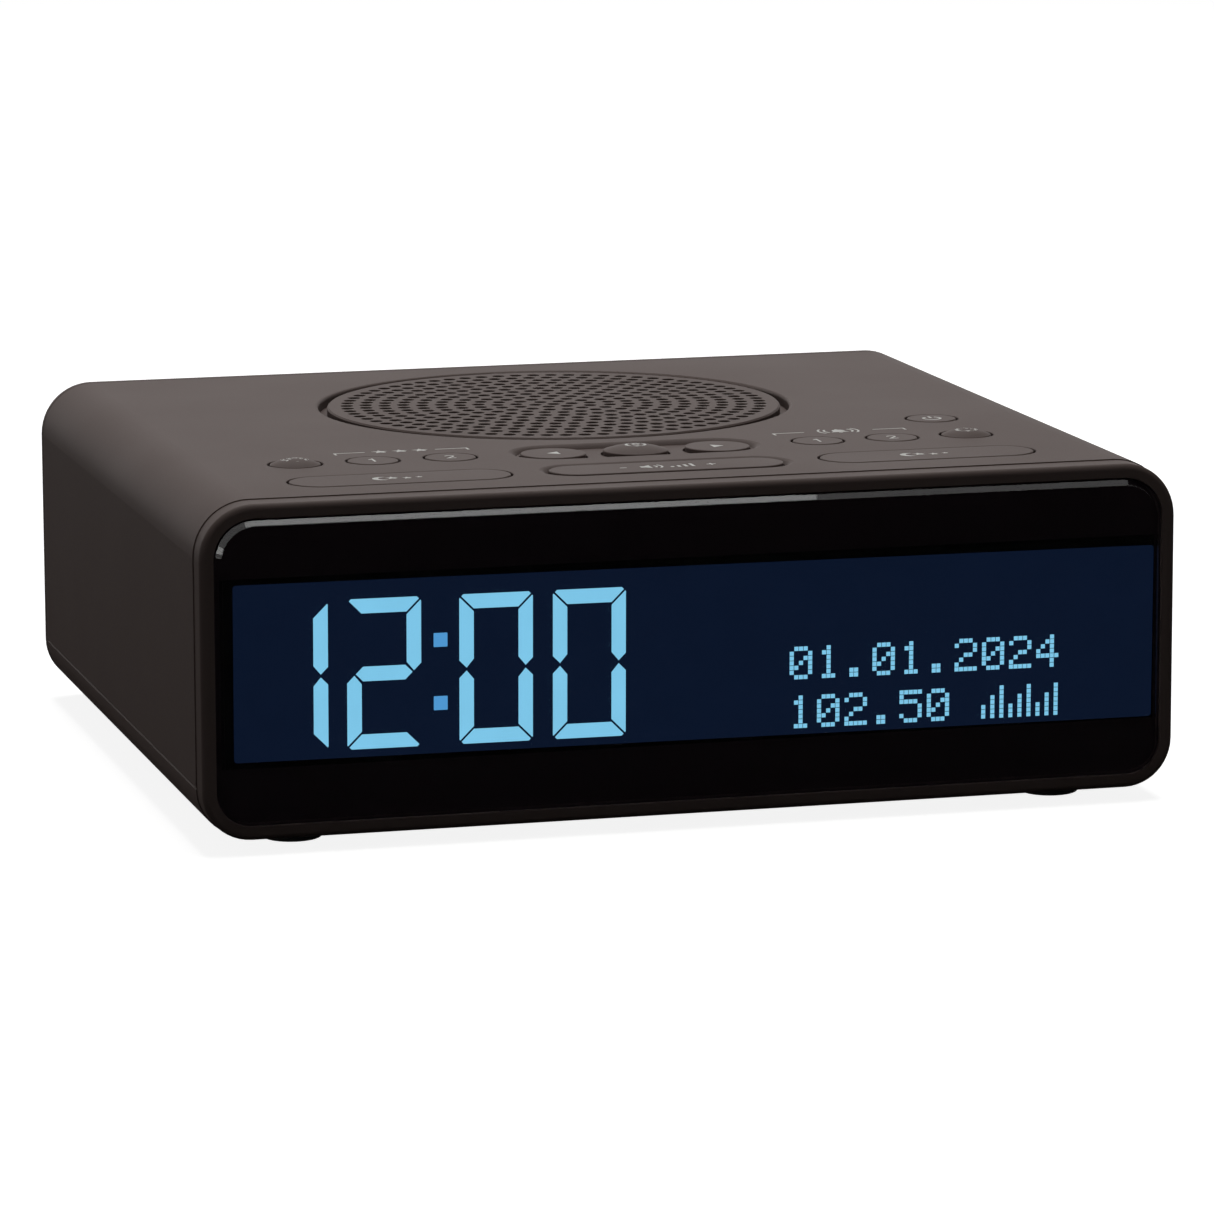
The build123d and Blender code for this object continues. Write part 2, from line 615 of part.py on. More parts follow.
def front_bezel():
    """Frame around the lens, with the ledge behind it and a lip into the sleeve."""
    bezel = slab(case_profile(BEZEL_STEP), BEZEL_FRONT, SLEEVE_FRONT)
    bezel = fillet(bezel.faces().sort_by(Axis.Y)[0].edges(), BEZEL_EDGE_R)
    bezel -= slab(case_profile(RIM - FIT_GAP), BEZEL_FRONT, LEDGE_FRONT)
    bezel -= slab(case_profile(WALL), LEDGE_BACK, SLEEVE_FRONT)
    lip = case_profile(WALL + FIT_GAP) - case_profile(WALL + FIT_GAP + LIP_T)
    bezel += slab(lip, LEDGE_BACK, SLEEVE_FRONT + LIP_L)
    window = Pos(0, MIDDLE) * Rectangle(GLASS_W + 2 * WINDOW_GAP, GLASS_H + 2 * WINDOW_GAP)
    bezel -= slab(window, LEDGE_FRONT, LEDGE_BACK)
    for x, z in BEZEL_TOP_SCREWS + BEZEL_BASE_SCREWS:
        bezel += bar(BOSS_R, x, z, LEDGE_BACK, GUSSET_FRONT)
        bezel -= bar(SMALL_R + PILOT_GAP, x, z, GUSSET_FRONT - BITE, GUSSET_FRONT)
    for x, z in FRAME_SCREWS:
        bezel -= bar(TINY_R + PILOT_GAP, x, z, LEDGE_BACK - TINY_BITE, LEDGE_BACK)
    return bezel


def rear_cover():
    """Plate that closes the back, with its lip, screw posts and the two cable fittings' holes."""
    cover = seam_bevel(slab(case_profile(), SLEEVE_BACK, BACK), 0)
    cover = fillet(cover.faces().sort_by(Axis.Y)[-1].edges(), REAR_EDGE_R)
    lip = case_profile(WALL + FIT_GAP) - case_profile(WALL + FIT_GAP + LIP_T)
    lip = slab(lip, SLEEVE_BACK - LIP_L, SLEEVE_BACK)
    cover += lip - rod(SEAT_R + FIT_GAP, 0, SPEAKER_Y, SEAT_BOTTOM, CEILING)
    for x, z in REAR_SCREWS:
        cover += bar(COLUMN_R, x, z, REAR_BOSS_BACK, SLEEVE_BACK)
        cover -= bar(BIG_R + SHANK_GAP, x, z, REAR_BOSS_BACK, BACK)
        cover -= bar(BIG_HEAD_R + HEAD_GAP, x, z, rear_head_seat(), BACK)
    cover -= bar(JACK_NOSE_R + JACK_GAP, JACK_X, JACK_AXIS, SLEEVE_BACK, BACK)
    cover -= bar(GLAND_R + FIT_GAP, GLAND_X, GLAND_Z, SLEEVE_BACK, BACK)
    cover -= bar(GLAND_FLANGE_R + FIT_GAP, GLAND_X, GLAND_Z, BACK - GLAND_FLANGE_T, BACK)
    return cover


def rear_head_seat():
    """Depth at which a rear screw's head is seated."""
    return BACK - HEAD_SINK - HEAD_SHARE * BIG_HEAD_R


def front_lens():
    """Clear window over the whole front, with a bevelled edge."""
    lens = slab(case_profile(RIM), FRONT, LENS_BACK)
    return chamfer(lens.faces().sort_by(Axis.Y)[0].edges(), LENS_CHAMFER)


def lens_tape():
    """Two tape strips that hold the lens on the ledge, above and below the display."""
    window_edge = GLASS_H / 2 + WINDOW_GAP
    ledge_middle = (window_edge + CASE_H / 2 - RIM) / 2
    strips = [Pos(0, MIDDLE + side * ledge_middle) * Rectangle(TAPE_L, TAPE_H) for side in (-1, 1)]
    return [slab(strip, LENS_BACK, LEDGE_FRONT) for strip in strips]


def lcd_glass():
    """Display glass."""
    return slab(Pos(0, MIDDLE) * Rectangle(GLASS_W, GLASS_H), GLASS_FRONT, GLASS_BACK)


def backlight_panel():
    """Light guide behind the display glass."""
    return slab(Pos(0, MIDDLE) * Rectangle(LIGHT_W, LIGHT_H), GLASS_BACK, LIGHT_BACK)


def lcd_frame():
    """Carrier that presses the backlight and the glass to the bezel."""
    height = LIGHT_H + 2 * (RAIL_GAP + RAIL_H)
    frame = slab(Pos(0, MIDDLE) * Rectangle(FRAME_W, height), LIGHT_BACK, FRAME_BACK)
    for side in (-1, 1):
        rail = Pos(0, MIDDLE + side * RAIL_Z) * Rectangle(FRAME_W, RAIL_H)
        frame += slab(rail, LEDGE_BACK, FRAME_BACK)
    slot_z = MIDDLE - LIGHT_H / 2
    slot_half = FLEX_W / 2 + FLEX_GAP
    slot_x = (FLEX_X - slot_half, FLEX_X + slot_half)
    frame -= block(*slot_x, LIGHT_BACK, FRAME_BACK, slot_z - RAIL_GAP, slot_z)
    for x, z in FRAME_SCREWS:
        frame -= bar(TINY_R + SHANK_GAP, x, z, LEDGE_BACK, FRAME_BACK)
    return frame


def ribbon(width, thickness, radius, points):
    """A flat cable through (y, z) points, lying across the case about x = 0."""
    path = FilletPolyline(*[(0, y, z) for y, z in points], radius=radius)
    start = Plane(origin=path @ 0, x_dir=(1, 0, 0), z_dir=path % 0)
    return sweep(start * Rectangle(width, thickness), path=path)


def lcd_flex():
    """Flat cable from the glass's lower edge to the main board."""
    exit_z = MIDDLE - LIGHT_H / 2 - RAIL_GAP / 2
    header_z = MAIN_TOP + HEADER_H / 2
    step = (MAIN_FRONT - GLASS_BACK) / 3
    points = [
        (GLASS_BACK, exit_z),
        (GLASS_BACK + step, exit_z),
        (MAIN_FRONT - step / 2, header_z),
        (MAIN_FRONT, header_z),
    ]
    return Pos(FLEX_X, 0, 0) * ribbon(FLEX_W, FLEX_T, FLEX_BEND_R, points)


def speaker_grille():
    """Perforated disc: rings of round holes around a centre hole."""
    holes = [Wire.make_circle(HOLE_R)]
    for ring in range(1, RING_COUNT + 1):
        radius = ring * RING_PITCH
        count = round(2 * math.pi * radius / HOLE_STEP)
        for spoke in PolarLocations(radius, count):
            holes.append(spoke * Wire.make_circle(HOLE_R))
    face = Face(Wire.make_circle(GRILLE_R), holes)
    disc = Pos(0, SPEAKER_Y, GRILLE_SEAT) * extrude(face, GRILLE_T)
    rim = disc.edges().filter_by(GeomType.CIRCLE).sort_by(SortBy.RADIUS)[-2:]
    return fillet(rim.sort_by(Axis.Z)[-1], GRILLE_EDGE_R)


def speaker_gasket():
    """Foam ring between the basket and the case."""
    return turned_ring(BASKET_R - GASKET_W, BASKET_R, BASKET_TOP, SEAT_BOTTOM)


def speaker_frame():
    """Basket with four arms and four screw ears."""
    shelf_z = BASKET_TOP - SPIDER_SHELF
    shelf_r = spider_rim()
    neck_r = shelf_r - SURROUND_RIM
    basket = turned(
        (RIM_R, BASKET_TOP), (BASKET_R, BASKET_TOP), (BASKET_R, BASKET_TOP - BASKET_T),
        (RIM_R + BASKET_SKIN, BASKET_TOP - BASKET_T), (RIM_R + BASKET_SKIN, BASKET_TOP - 2 * BASKET_T),
        (shelf_r + BASKET_SKIN, shelf_z - BASKET_SKIN),
        (neck_r + BASKET_SKIN, shelf_z - BASKET_SKIN), (neck_r + BASKET_SKIN, PLATE_TOP),
        (PLATE_BORE_R, PLATE_TOP), (PLATE_BORE_R, BASKET_FOOT), (neck_r, BASKET_FOOT),
        (neck_r, shelf_z), (shelf_r, shelf_z), (RIM_R, BASKET_TOP - 2 * BASKET_T),
    )
    windows = turned_ring(
        shelf_r + BASKET_SKIN, BASKET_R, shelf_z + 2 * BASKET_SKIN, BASKET_TOP - 2 * BASKET_T
    )
    for angle in (45, 135):
        windows -= Pos(0, SPEAKER_Y, 0) * Rot(0, 0, angle) * Box(2 * BASKET_R, BASKET_ARM_W, 2 * ROOF)
    basket -= windows
    for x, y in SPEAKER_SCREWS:
        basket += rod(BASKET_EAR_R, x, SPEAKER_Y + y, BASKET_TOP - BASKET_T, BASKET_TOP)
        basket += ear_root(math.degrees(math.atan2(y, x)))
        basket -= rod(SMALL_R + SHANK_GAP, x, SPEAKER_Y + y, BASKET_TOP - BASKET_T, BASKET_TOP)
    return basket


def ear_root(angle):
    """Straight web from a screw ear in to the basket's flange."""
    reach = SPEAKER_SCREW_R - BASKET_R + BASKET_EAR_R
    root = Box(reach, 2 * BASKET_EAR_R, BASKET_T, align=(Align.MAX, Align.CENTER, Align.MAX))
    return Pos(0, SPEAKER_Y, BASKET_TOP) * Rot(0, 0, angle) * Pos(SPEAKER_SCREW_R, 0, 0) * root


def spider_rim():
    """Outer radius of the spider's shelf in the basket."""
    return PLATE_R + SURROUND_RIM + BASKET_SKIN


def speaker_surround():
    """Rubber half roll between the cone and the basket."""
    middle_r = CONE_R + ROLL_R
    level = BASKET_TOP
    roll = Circle(ROLL_R + SURROUND_T) - Circle(ROLL_R)
    roll &= Pos(0, SURROUND_T) * Rectangle(CONE_R, 2 * CONE_R, align=(Align.CENTER, Align.MIN))
    profile = Pos(middle_r, level) * roll
    for edge_r in (middle_r - ROLL_R - SURROUND_RIM, middle_r + ROLL_R):
        flat = Rectangle(SURROUND_RIM, SURROUND_T, align=(Align.MIN, Align.MIN))
        profile += Pos(edge_r, level) * flat
    foot = Pos(middle_r, level) * (Circle(ROLL_R + SURROUND_T) - Circle(ROLL_R))
    profile += foot & (Pos(0, level) * Rectangle(4 * CONE_R, SURROUND_T, align=(Align.MIN, Align.MIN)))
    return Pos(0, SPEAKER_Y, 0) * revolve(Plane.XZ * profile, Axis.Z)


def speaker_spider():
    """Corrugated ring that centres the coil."""
    level = BASKET_TOP - SPIDER_SHELF
    inner = COIL_R + GLUE_GAP
    outer = spider_rim() - WINDOW_GAP
    step = (outer - inner) / (SPIDER_WAVES + 1)
    upper = [(inner + i * step, level + SURROUND_T * (1 + i % 2)) for i in range(SPIDER_WAVES + 1)]
    upper.append((outer, level + SURROUND_T))
    lower = [(r, z - SURROUND_T) for r, z in reversed(upper)]
    return turned(*upper, *lower)


def speaker_cone():
    """Paper cone, glued to the former at its neck."""
    neck = COIL_R + GLUE_GAP
    foot = BASKET_TOP - CONE_DEPTH
    rim = BASKET_TOP - CONE_T
    return turned((neck, foot - CONE_T), (CONE_R, rim), (CONE_R, BASKET_TOP), (neck, foot))


def cone_face(radius):
    """Height of the cone's upper face at a radius."""
    neck = COIL_R + GLUE_GAP
    return BASKET_TOP - CONE_DEPTH * (CONE_R - radius) / (CONE_R - neck)


def dust_cap():
    """Dome over the coil."""
    seat = cone_face(CAP_R) + GLUE_GAP
    outer = ThreePointArc((-CAP_R, seat), (0, seat + CAP_RISE), (CAP_R, seat))
    inner = ThreePointArc((-CAP_R + CAP_T, seat), (0, seat + CAP_RISE - CAP_T), (CAP_R - CAP_T, seat))
    section = make_face(outer + Line(outer @ 0, outer @ 1)) - make_face(inner + Line(inner @ 0, inner @ 1))
    half = section & Rectangle(4 * CAP_R, 4 * CASE_H, align=(Align.MIN, Align.CENTER))
    return Pos(0, SPEAKER_Y, 0) * revolve(Plane.XZ * half, Axis.Z)


def voice_coil():
    """Former with its winding, centred in the magnet's gap."""
    bore = COIL_R - FORMER_T
    top = cone_face(COIL_R)
    winding_top = PLATE_TOP - PLATE_T / 2 + WINDING_L / 2
    winding_foot = winding_top - WINDING_L
    return turned(
        (bore, winding_foot), (COIL_R + WINDING_T, winding_foot), (COIL_R + WINDING_T, winding_top),
        (COIL_R, winding_top), (COIL_R, top), (bore, top),
    )


def speaker_top_plate():
    """Steel ring around the coil."""
    return turned_ring(PLATE_BORE_R, PLATE_R, MAGNET_TOP, PLATE_TOP)


def speaker_magnet():
    """Ferrite ring."""
    return turned_ring(MAGNET_BORE_R, MAGNET_R, YOKE_TOP, MAGNET_TOP)


def speaker_yoke():
    """Steel back plate with the pole."""
    foot = YOKE_TOP - PLATE_T
    plate = rod(PLATE_R, 0, SPEAKER_Y, foot, YOKE_TOP)
    return plate + rod(POLE_R, 0, SPEAKER_Y, YOKE_TOP, PLATE_TOP)


def terminal_y():
    """Front face of the terminal strip, in front of the basket's flange edge."""
    return SPEAKER_Y - BASKET_R + TERMINAL_T


def speaker_terminals():
    """Strip under the basket's flange where the leads are soldered."""
    top = BASKET_TOP - BASKET_T
    y = terminal_y()
    return block(-TERMINAL_W / 2, TERMINAL_W / 2, y, y + TERMINAL_T, top - TERMINAL_H, top)


def speaker_leads():
    """Two leads from the terminals down to the main board."""
    start_y = terminal_y() - LEAD_R - GLUE_GAP
    start_z = BASKET_TOP - BASKET_T - TERMINAL_H / 2
    end_y = header_y()
    leads = []
    for side in (-1, 1):
        x = side * LEAD_PITCH / 2
        points = [
            (x, start_y, start_z),
            (x, start_y, (start_z + MAIN_TOP) / 2),
            (x, end_y, (start_z + 3 * MAIN_TOP) / 4),
            (x, end_y, MAIN_TOP + HEADER_H),
        ]
        path = FilletPolyline(*points, radius=RIBBON_BEND_R)
        section = Plane(origin=path @ 0, z_dir=path % 0) * Circle(LEAD_R)
        leads.append(sweep(section, path=path))
    return leads


def key_board_outline():
    """Board under the keys, with a tab for the standby key."""
    front = FRONT + BAR_ROW - SWITCH_W / 2 - KEY_BOARD_EDGE
    back = FRONT + KEY_ROW + SWITCH_W / 2 + KEY_BOARD_EDGE
    tab_half = SWITCH_W / 2 + KEY_BOARD_EDGE
    tab_front = FRONT + KEY_ROW - SWITCH_W / 2
    tab_back = FRONT + STANDBY_ROW + tab_half
    main = Pos(0, (front + back) / 2) * Rectangle(2 * KEY_BOARD_HALF, back - front)
    tab = Pos(KEY_OUTER_X, (tab_front + tab_back) / 2) * Rectangle(2 * tab_half, tab_back - tab_front)
    return main + tab


def key_board():
    """Circuit board that carries the switches."""
    board = Pos(0, 0, KEY_BOARD_TOP - BOARD_T) * extrude(key_board_outline(), BOARD_T)
    for x, row in KEY_BOARD_SCREWS:
        board -= rod(SMALL_R + SHANK_GAP, x, FRONT + row, KEY_BOARD_TOP - BOARD_T, KEY_BOARD_TOP)
    return board


def tact_switches():
    """Switch bodies, each with a well for the stem above it."""
    bodies = []
    for place in switch_places():
        body = Box(SWITCH_W, SWITCH_W, SWITCH_H, align=BOTTOM_UP)
        body -= Pos(0, 0, SWITCH_H) * Cylinder(STEM_R + WELL_GAP, SWITCH_WELL_D, align=TOP_DOWN)
        bodies.append(on_top(place, KEY_BOARD_TOP) * body)
    return bodies


def header_y():
    """Middle of the row of headers on the main board."""
    return MAIN_FRONT + HEADER_D / 2


def key_ribbon():
    """Flat cable from the key board down to the main board."""
    start_z = KEY_BOARD_TOP - BOARD_T
    end_z = MAIN_TOP + HEADER_H
    drop = start_z - end_z
    start_y = FRONT + RIBBON_ROW
    points = [
        (start_y, start_z),
        (start_y, start_z - drop / 3),
        (header_y(), start_z - 2 * drop / 3),
        (header_y(), end_z),
    ]
    return Pos(RIBBON_X, 0, 0) * ribbon(RIBBON_W, RIBBON_T, RIBBON_BEND_R, points)


def main_board():
    """Circuit board on the base cover's bosses."""
    board = block(-MAIN_W / 2, MAIN_W / 2, MAIN_FRONT, MAIN_BACK, MAIN_TOP - BOARD_T, MAIN_TOP)
    for x, y in MAIN_SCREWS:
        board -= rod(SMALL_R + SHANK_GAP, x, y, MAIN_TOP - BOARD_T, MAIN_TOP)
    return board


def board_headers():
    """Sockets on the main board for the display's, the key board's and the speaker's cables."""
    headers = []
    for x, width in ((FLEX_X, FLEX_W), (RIBBON_X, RIBBON_W), (0, 2 * LEAD_PITCH)):
        header = Box(width, HEADER_D, HEADER_H, align=BOTTOM_UP)
        headers.append(Pos(x, header_y(), MAIN_TOP) * header)
    return headers


def tuner_can():
    """Screening can of the tuner."""
    y = (MAIN_FRONT + MAIN_BACK) / 2
    can = block(-CAN_W / 2, CAN_W / 2, y - CAN_D / 2, y + CAN_D / 2, MAIN_TOP, MAIN_TOP + CAN_H)
    return fillet(can.edges().filter_by(Axis.Z), CAN_CORNER_R)


def capacitors():
    """Smoothing capacitors beside the inlet."""
    y = MAIN_BACK - 2 * CAPACITOR_STEP
    cans = []
    for i in range(CAPACITOR_COUNT):
        can = rod(CAPACITOR_R, JACK_X + i * CAPACITOR_STEP, y, MAIN_TOP, MAIN_TOP + CAPACITOR_H)
        cans.append(chamfer(can.edges().sort_by(Axis.Z)[-1], CAPACITOR_CHAMFER))
    return cans


def dc_jack():
    """Low-voltage inlet, whose nose shows in the rear cover."""
    face = BACK - JACK_GAP
    body_back = SLEEVE_BACK - JACK_GAP
    half = JACK_W / 2
    jack = block(JACK_X - half, JACK_X + half, body_back - JACK_L, body_back, MAIN_TOP, MAIN_TOP + JACK_H)
    jack += bar(JACK_NOSE_R, JACK_X, JACK_AXIS, body_back, face)
    return jack - bar(JACK_BORE_R, JACK_X, JACK_AXIS, face - JACK_BORE_DEPTH, face)


def dc_jack_pin():
    """Centre pin of the inlet."""
    face = BACK - JACK_GAP
    return bar(JACK_PIN_R, JACK_X, JACK_AXIS, face - JACK_BORE_DEPTH, face - JACK_GAP)


def aerial_gland():
    """Bush in the rear cover where the aerial wire leaves."""
    bush = bar(GLAND_R, GLAND_X, GLAND_Z, SLEEVE_BACK, BACK)
    bush += bar(GLAND_FLANGE_R, GLAND_X, GLAND_Z, BACK - GLAND_FLANGE_T, BACK)
    return bush - bar(GLAND_BORE_R, GLAND_X, GLAND_Z, SLEEVE_BACK, BACK)


def rubber_feet():
    """Four feet seated in the base cover."""
    feet = []
    for x, y in FEET:
        foot = rod(FOOT_D / 2, x, y, 0, FLOOR + FOOT_SINK)
        feet.append(fillet(foot.edges().sort_by(Axis.Z)[0], FOOT_EDGE_R))
    return feet


def rocker_pin():
    """Pin that the volume rocker tilts on."""
    reach = ROCKER_W / 2 + KEY_GAP + EAR_CLEAR + EAR_T
    y = FRONT + BAR_ROW
    return bar(PIN_R, 0, PIVOT, y - reach, y + reach)


def cap_edges(cap):
    """Edges around the top of a key's cap."""
    return cap.faces().sort_by(Axis.Z)[-1].edges()


def round_key(name, diameter, place, level, proud):
    """A round key: flat or domed cap, flange under the top, and stem."""
    flange_top = CEILING - FLANGE_GAP
    if name in DOMED:
        cap = dome(diameter / 2, level + proud - flange_top)
    else:
        cap = Cylinder(diameter / 2, level + proud - flange_top, align=BOTTOM_UP)
        cap = fillet(cap_edges(cap), KEY_EDGE_R)
    flange = Cylinder(diameter / 2 + FLANGE_OUT, FLANGE_T, align=TOP_DOWN)
    return on_top(place, flange_top) * (cap + flange) + stem(place, flange_top - FLANGE_T)


def dome(radius, rim):
    """A round cap whose top rises from its rounded rim to its crown."""
    edge = radius - KEY_EDGE_R
    corner = KEY_EDGE_R * math.sqrt(0.5)
    crown = rim + DOME_RISE
    sphere_r = (edge ** 2 + DOME_RISE ** 2) / (2 * DOME_RISE)
    halfway = crown - sphere_r + math.sqrt(sphere_r ** 2 - edge ** 2 / 4)
    shoulder = (edge + corner, rim - KEY_EDGE_R + corner)
    outline = [
        Polyline((0, crown), (0, 0), (radius, 0), (radius, rim - KEY_EDGE_R)),
        ThreePointArc((radius, rim - KEY_EDGE_R), shoulder, (edge, rim)),
        ThreePointArc((edge, rim), (edge / 2, halfway), (0, crown)),
    ]
    return revolve(Plane.XZ * make_face(outline), Axis.Z)


def stem(place, top):
    """A key's stem, down into its switch."""
    return rod(STEM_R, place[0], FRONT + place[1], STEM_TIP, top)


def snooze_bar(place):
    """A long key with two stems."""
    flange_top = CEILING - FLANGE_GAP
    cap = pill(BAR_L, BAR_W, place, flange_top, ROOF + KEY_PROUD)
    cap = fillet(cap_edges(cap), KEY_EDGE_R)
    cap += pill(BAR_L + 2 * FLANGE_OUT, BAR_W + 2 * FLANGE_OUT, place, flange_top - FLANGE_T, flange_top)
    for side in (-1, 1):
        cap += stem((place[0] + side * BAR_STEM_X, place[1]), flange_top - FLANGE_T)
    return cap


def volume_rocker():
    """Rocker with a hub on the pin and a stem at each end."""
    place = (0, BAR_ROW)
    top = ROOF
    y = FRONT + BAR_ROW
    rocker = pill(ROCKER_L, ROCKER_W, place, top - ROCKER_T, top)
    rocker = fillet(cap_edges(rocker), KEY_EDGE_R)
    rocker += block(-HUB_R, HUB_R, y - ROCKER_W / 2, y + ROCKER_W / 2, PIVOT, top - ROCKER_T)
    rocker += bar(HUB_R, 0, PIVOT, y - ROCKER_W / 2, y + ROCKER_W / 2)
    rocker -= bar(PIN_R + PIN_RUNNING_GAP, 0, PIVOT, y - ROCKER_W, y + ROCKER_W)
    for side in (-1, 1):
        rocker += stem((side * ROCKER_STEM_X, BAR_ROW), top - ROCKER_T)
    return rocker


def screws_up(places, seat, radius, length, head_radius):
    """Screws that point up from their seats at (x, y) places."""
    return [Pos(x, y, seat) * screw(radius, length, head_radius) for x, y in places]


def screws_forward(places, seat, radius, length, head_radius):
    """Screws that point to the front from their seats at (x, z) places."""
    return [Pos(x, seat, z) * Rot(90, 0, 0) * screw(radius, length, head_radius) for x, z in places]


def screw_sets():
    """Every set of like screws, by node name."""
    key_places = [(x, FRONT + row) for x, row in KEY_BOARD_SCREWS]
    speaker_places = [(x, SPEAKER_Y + y) for x, y in SPEAKER_SCREWS]
    base_length = COLUMN_FOOT - base_head_seat() + BITE
    rear_length = rear_head_seat() - REAR_BOSS_BACK + BITE
    frame_length = FRAME_BACK - LEDGE_BACK + TINY_BITE
    board_length = BOARD_T + SHORT_BITE
    main = [
        Pos(x, y, MAIN_TOP) * Rot(180, 0, 0) * screw(SMALL_R, board_length, SMALL_HEAD_R)
        for x, y in MAIN_SCREWS
    ]
    gusset_seat = GUSSET_FRONT + GUSSET_T
    bezel_places = BEZEL_TOP_SCREWS + BEZEL_BASE_SCREWS
    bezel_length = GUSSET_T + SHORT_BITE
    board_seat = KEY_BOARD_TOP - BOARD_T
    basket_seat = BASKET_TOP - BASKET_T
    basket_length = BASKET_T + SPEAKER_BITE
    return {
        "base_screws": screws_up(COLUMNS, base_head_seat(), BIG_R, base_length, BIG_HEAD_R),
        "rear_screws": screws_forward(REAR_SCREWS, rear_head_seat(), BIG_R, rear_length, BIG_HEAD_R),
        "bezel_screws": screws_forward(bezel_places, gusset_seat, SMALL_R, bezel_length, SMALL_HEAD_R),
        "lcd_screws": screws_forward(FRAME_SCREWS, FRAME_BACK, TINY_R, frame_length, TINY_HEAD_R),
        "key_board_screws": screws_up(key_places, board_seat, SMALL_R, board_length, SMALL_HEAD_R),
        "speaker_screws": screws_up(speaker_places, basket_seat, SMALL_R, basket_length, SMALL_HEAD_R),
        "main_board_screws": main,
    }


def build():
    """Every node's solids, by node name."""
    makers = (
        top_shell, base_cover, front_bezel, rear_cover, front_lens, lens_tape, lcd_glass, backlight_panel,
        lcd_frame, lcd_flex, speaker_grille, speaker_gasket, speaker_frame, speaker_surround,
        speaker_spider, speaker_cone, dust_cap, voice_coil, speaker_top_plate, speaker_magnet,
        speaker_yoke, speaker_terminals, speaker_leads, key_board, tact_switches, key_ribbon, main_board,
        board_headers, tuner_can, capacitors, dc_jack, dc_jack_pin, aerial_gland, rubber_feet,
        rocker_pin, volume_rocker,
    )
    nodes = {maker.__name__: maker() for maker in makers}
    for name, place in ROUND_KEYS.items():
        nodes[name] = round_key(name, KEY_D, place, ROOF, KEY_PROUD)
    for name, place in NAV_KEYS.items():
        nodes[name] = round_key(name, NAV_D, place, RECESS_FLOOR, NAV_PROUD)
    for name, place in BARS.items():
        nodes[name] = snooze_bar(place)
    nodes.update(screw_sets())
    return nodes


os.makedirs("parts", exist_ok=True)
for node, shape in build().items():
    solids = shape if isinstance(shape, list) else [shape]
    solids = [solid for piece in solids for solid in piece.solids()]
    export_step(Compound(children=solids) if len(solids) > 1 else solids[0], f"parts/{node}.step")
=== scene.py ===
import math

import bmesh
import bpy
from bpy.props import FloatProperty, FloatVectorProperty, IntProperty, PointerProperty
from mathutils import Matrix, Vector
from mathutils.bvhtree import BVHTree


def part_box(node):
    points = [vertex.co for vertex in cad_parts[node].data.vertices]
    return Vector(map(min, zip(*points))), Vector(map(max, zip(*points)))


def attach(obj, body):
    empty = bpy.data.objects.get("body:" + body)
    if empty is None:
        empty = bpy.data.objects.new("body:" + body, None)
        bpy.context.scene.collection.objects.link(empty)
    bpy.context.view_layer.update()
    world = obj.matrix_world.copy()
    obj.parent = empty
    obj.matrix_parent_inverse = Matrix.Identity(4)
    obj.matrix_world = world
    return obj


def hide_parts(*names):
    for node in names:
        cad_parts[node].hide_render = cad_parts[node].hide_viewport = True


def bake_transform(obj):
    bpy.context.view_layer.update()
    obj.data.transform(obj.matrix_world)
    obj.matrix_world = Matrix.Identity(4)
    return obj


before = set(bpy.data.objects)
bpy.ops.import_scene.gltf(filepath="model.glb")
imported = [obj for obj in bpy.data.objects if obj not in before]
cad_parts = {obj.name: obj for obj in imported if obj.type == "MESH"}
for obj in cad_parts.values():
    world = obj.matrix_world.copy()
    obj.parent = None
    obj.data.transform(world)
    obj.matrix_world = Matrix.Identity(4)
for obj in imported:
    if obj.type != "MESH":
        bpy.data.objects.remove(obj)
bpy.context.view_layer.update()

bl_info = {
    "name": "Tabletop Radio",
    "version": (1, 0, 0),
    "blender": (4, 5, 0),
    "location": "3D View > Sidebar > Radio",
    "description": "Dresses the packed tabletop radio: case, keys, grille, lens, display and stage",
    "category": "Object",
}

MM = 0.001

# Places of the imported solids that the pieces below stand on, in millimetres
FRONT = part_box("front_lens")[0].y / MM
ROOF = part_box("top_shell")[1].z / MM
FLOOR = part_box("base_cover")[0].z / MM
LENS_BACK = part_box("front_lens")[1].y / MM
GLASS_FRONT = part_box("lcd_glass")[0].y / MM
# The lens's corners and bevel, how deep printed ink is rooted, and a film's thickness, in millimetres
LENS_TOP_R = 7.2
LENS_BOTTOM_R = 6.2
LENS_CHAMFER = 1.1
INK_ROOT = 0.02
FILM = 0.02

THIN = 0.8      # a fine printed line against a full one
SHARP = 30.0    # degrees at an edge, past which it stays sharp
WELD = 1e-6     # metres within which doubled corners are merged

NOISE = "ShaderNodeTexNoise"
CELLS = "ShaderNodeTexVoronoi"
WAVES = "ShaderNodeTexWave"


def linear(hex_colour):
    """An sRGB hex colour as linear red, green, blue and alpha."""
    parts = [int(hex_colour[i:i + 2], 16) / 255 for i in (1, 3, 5)]
    return [c / 12.92 if c <= 0.04045 else ((c + 0.055) / 1.055) ** 2.4 for c in parts] + [1.0]


def per_mm(size, pattern=None):
    """Texture scale on metres for a pattern of that size in millimetres; a band is 20 radians to a unit."""
    return 1000.0 / size * (math.tau / 20 if pattern == WAVES else 1.0)


# Sizes and colours that a user would change

COLOUR = {"subtype": "COLOR", "size": 4, "min": 0, "max": 1}


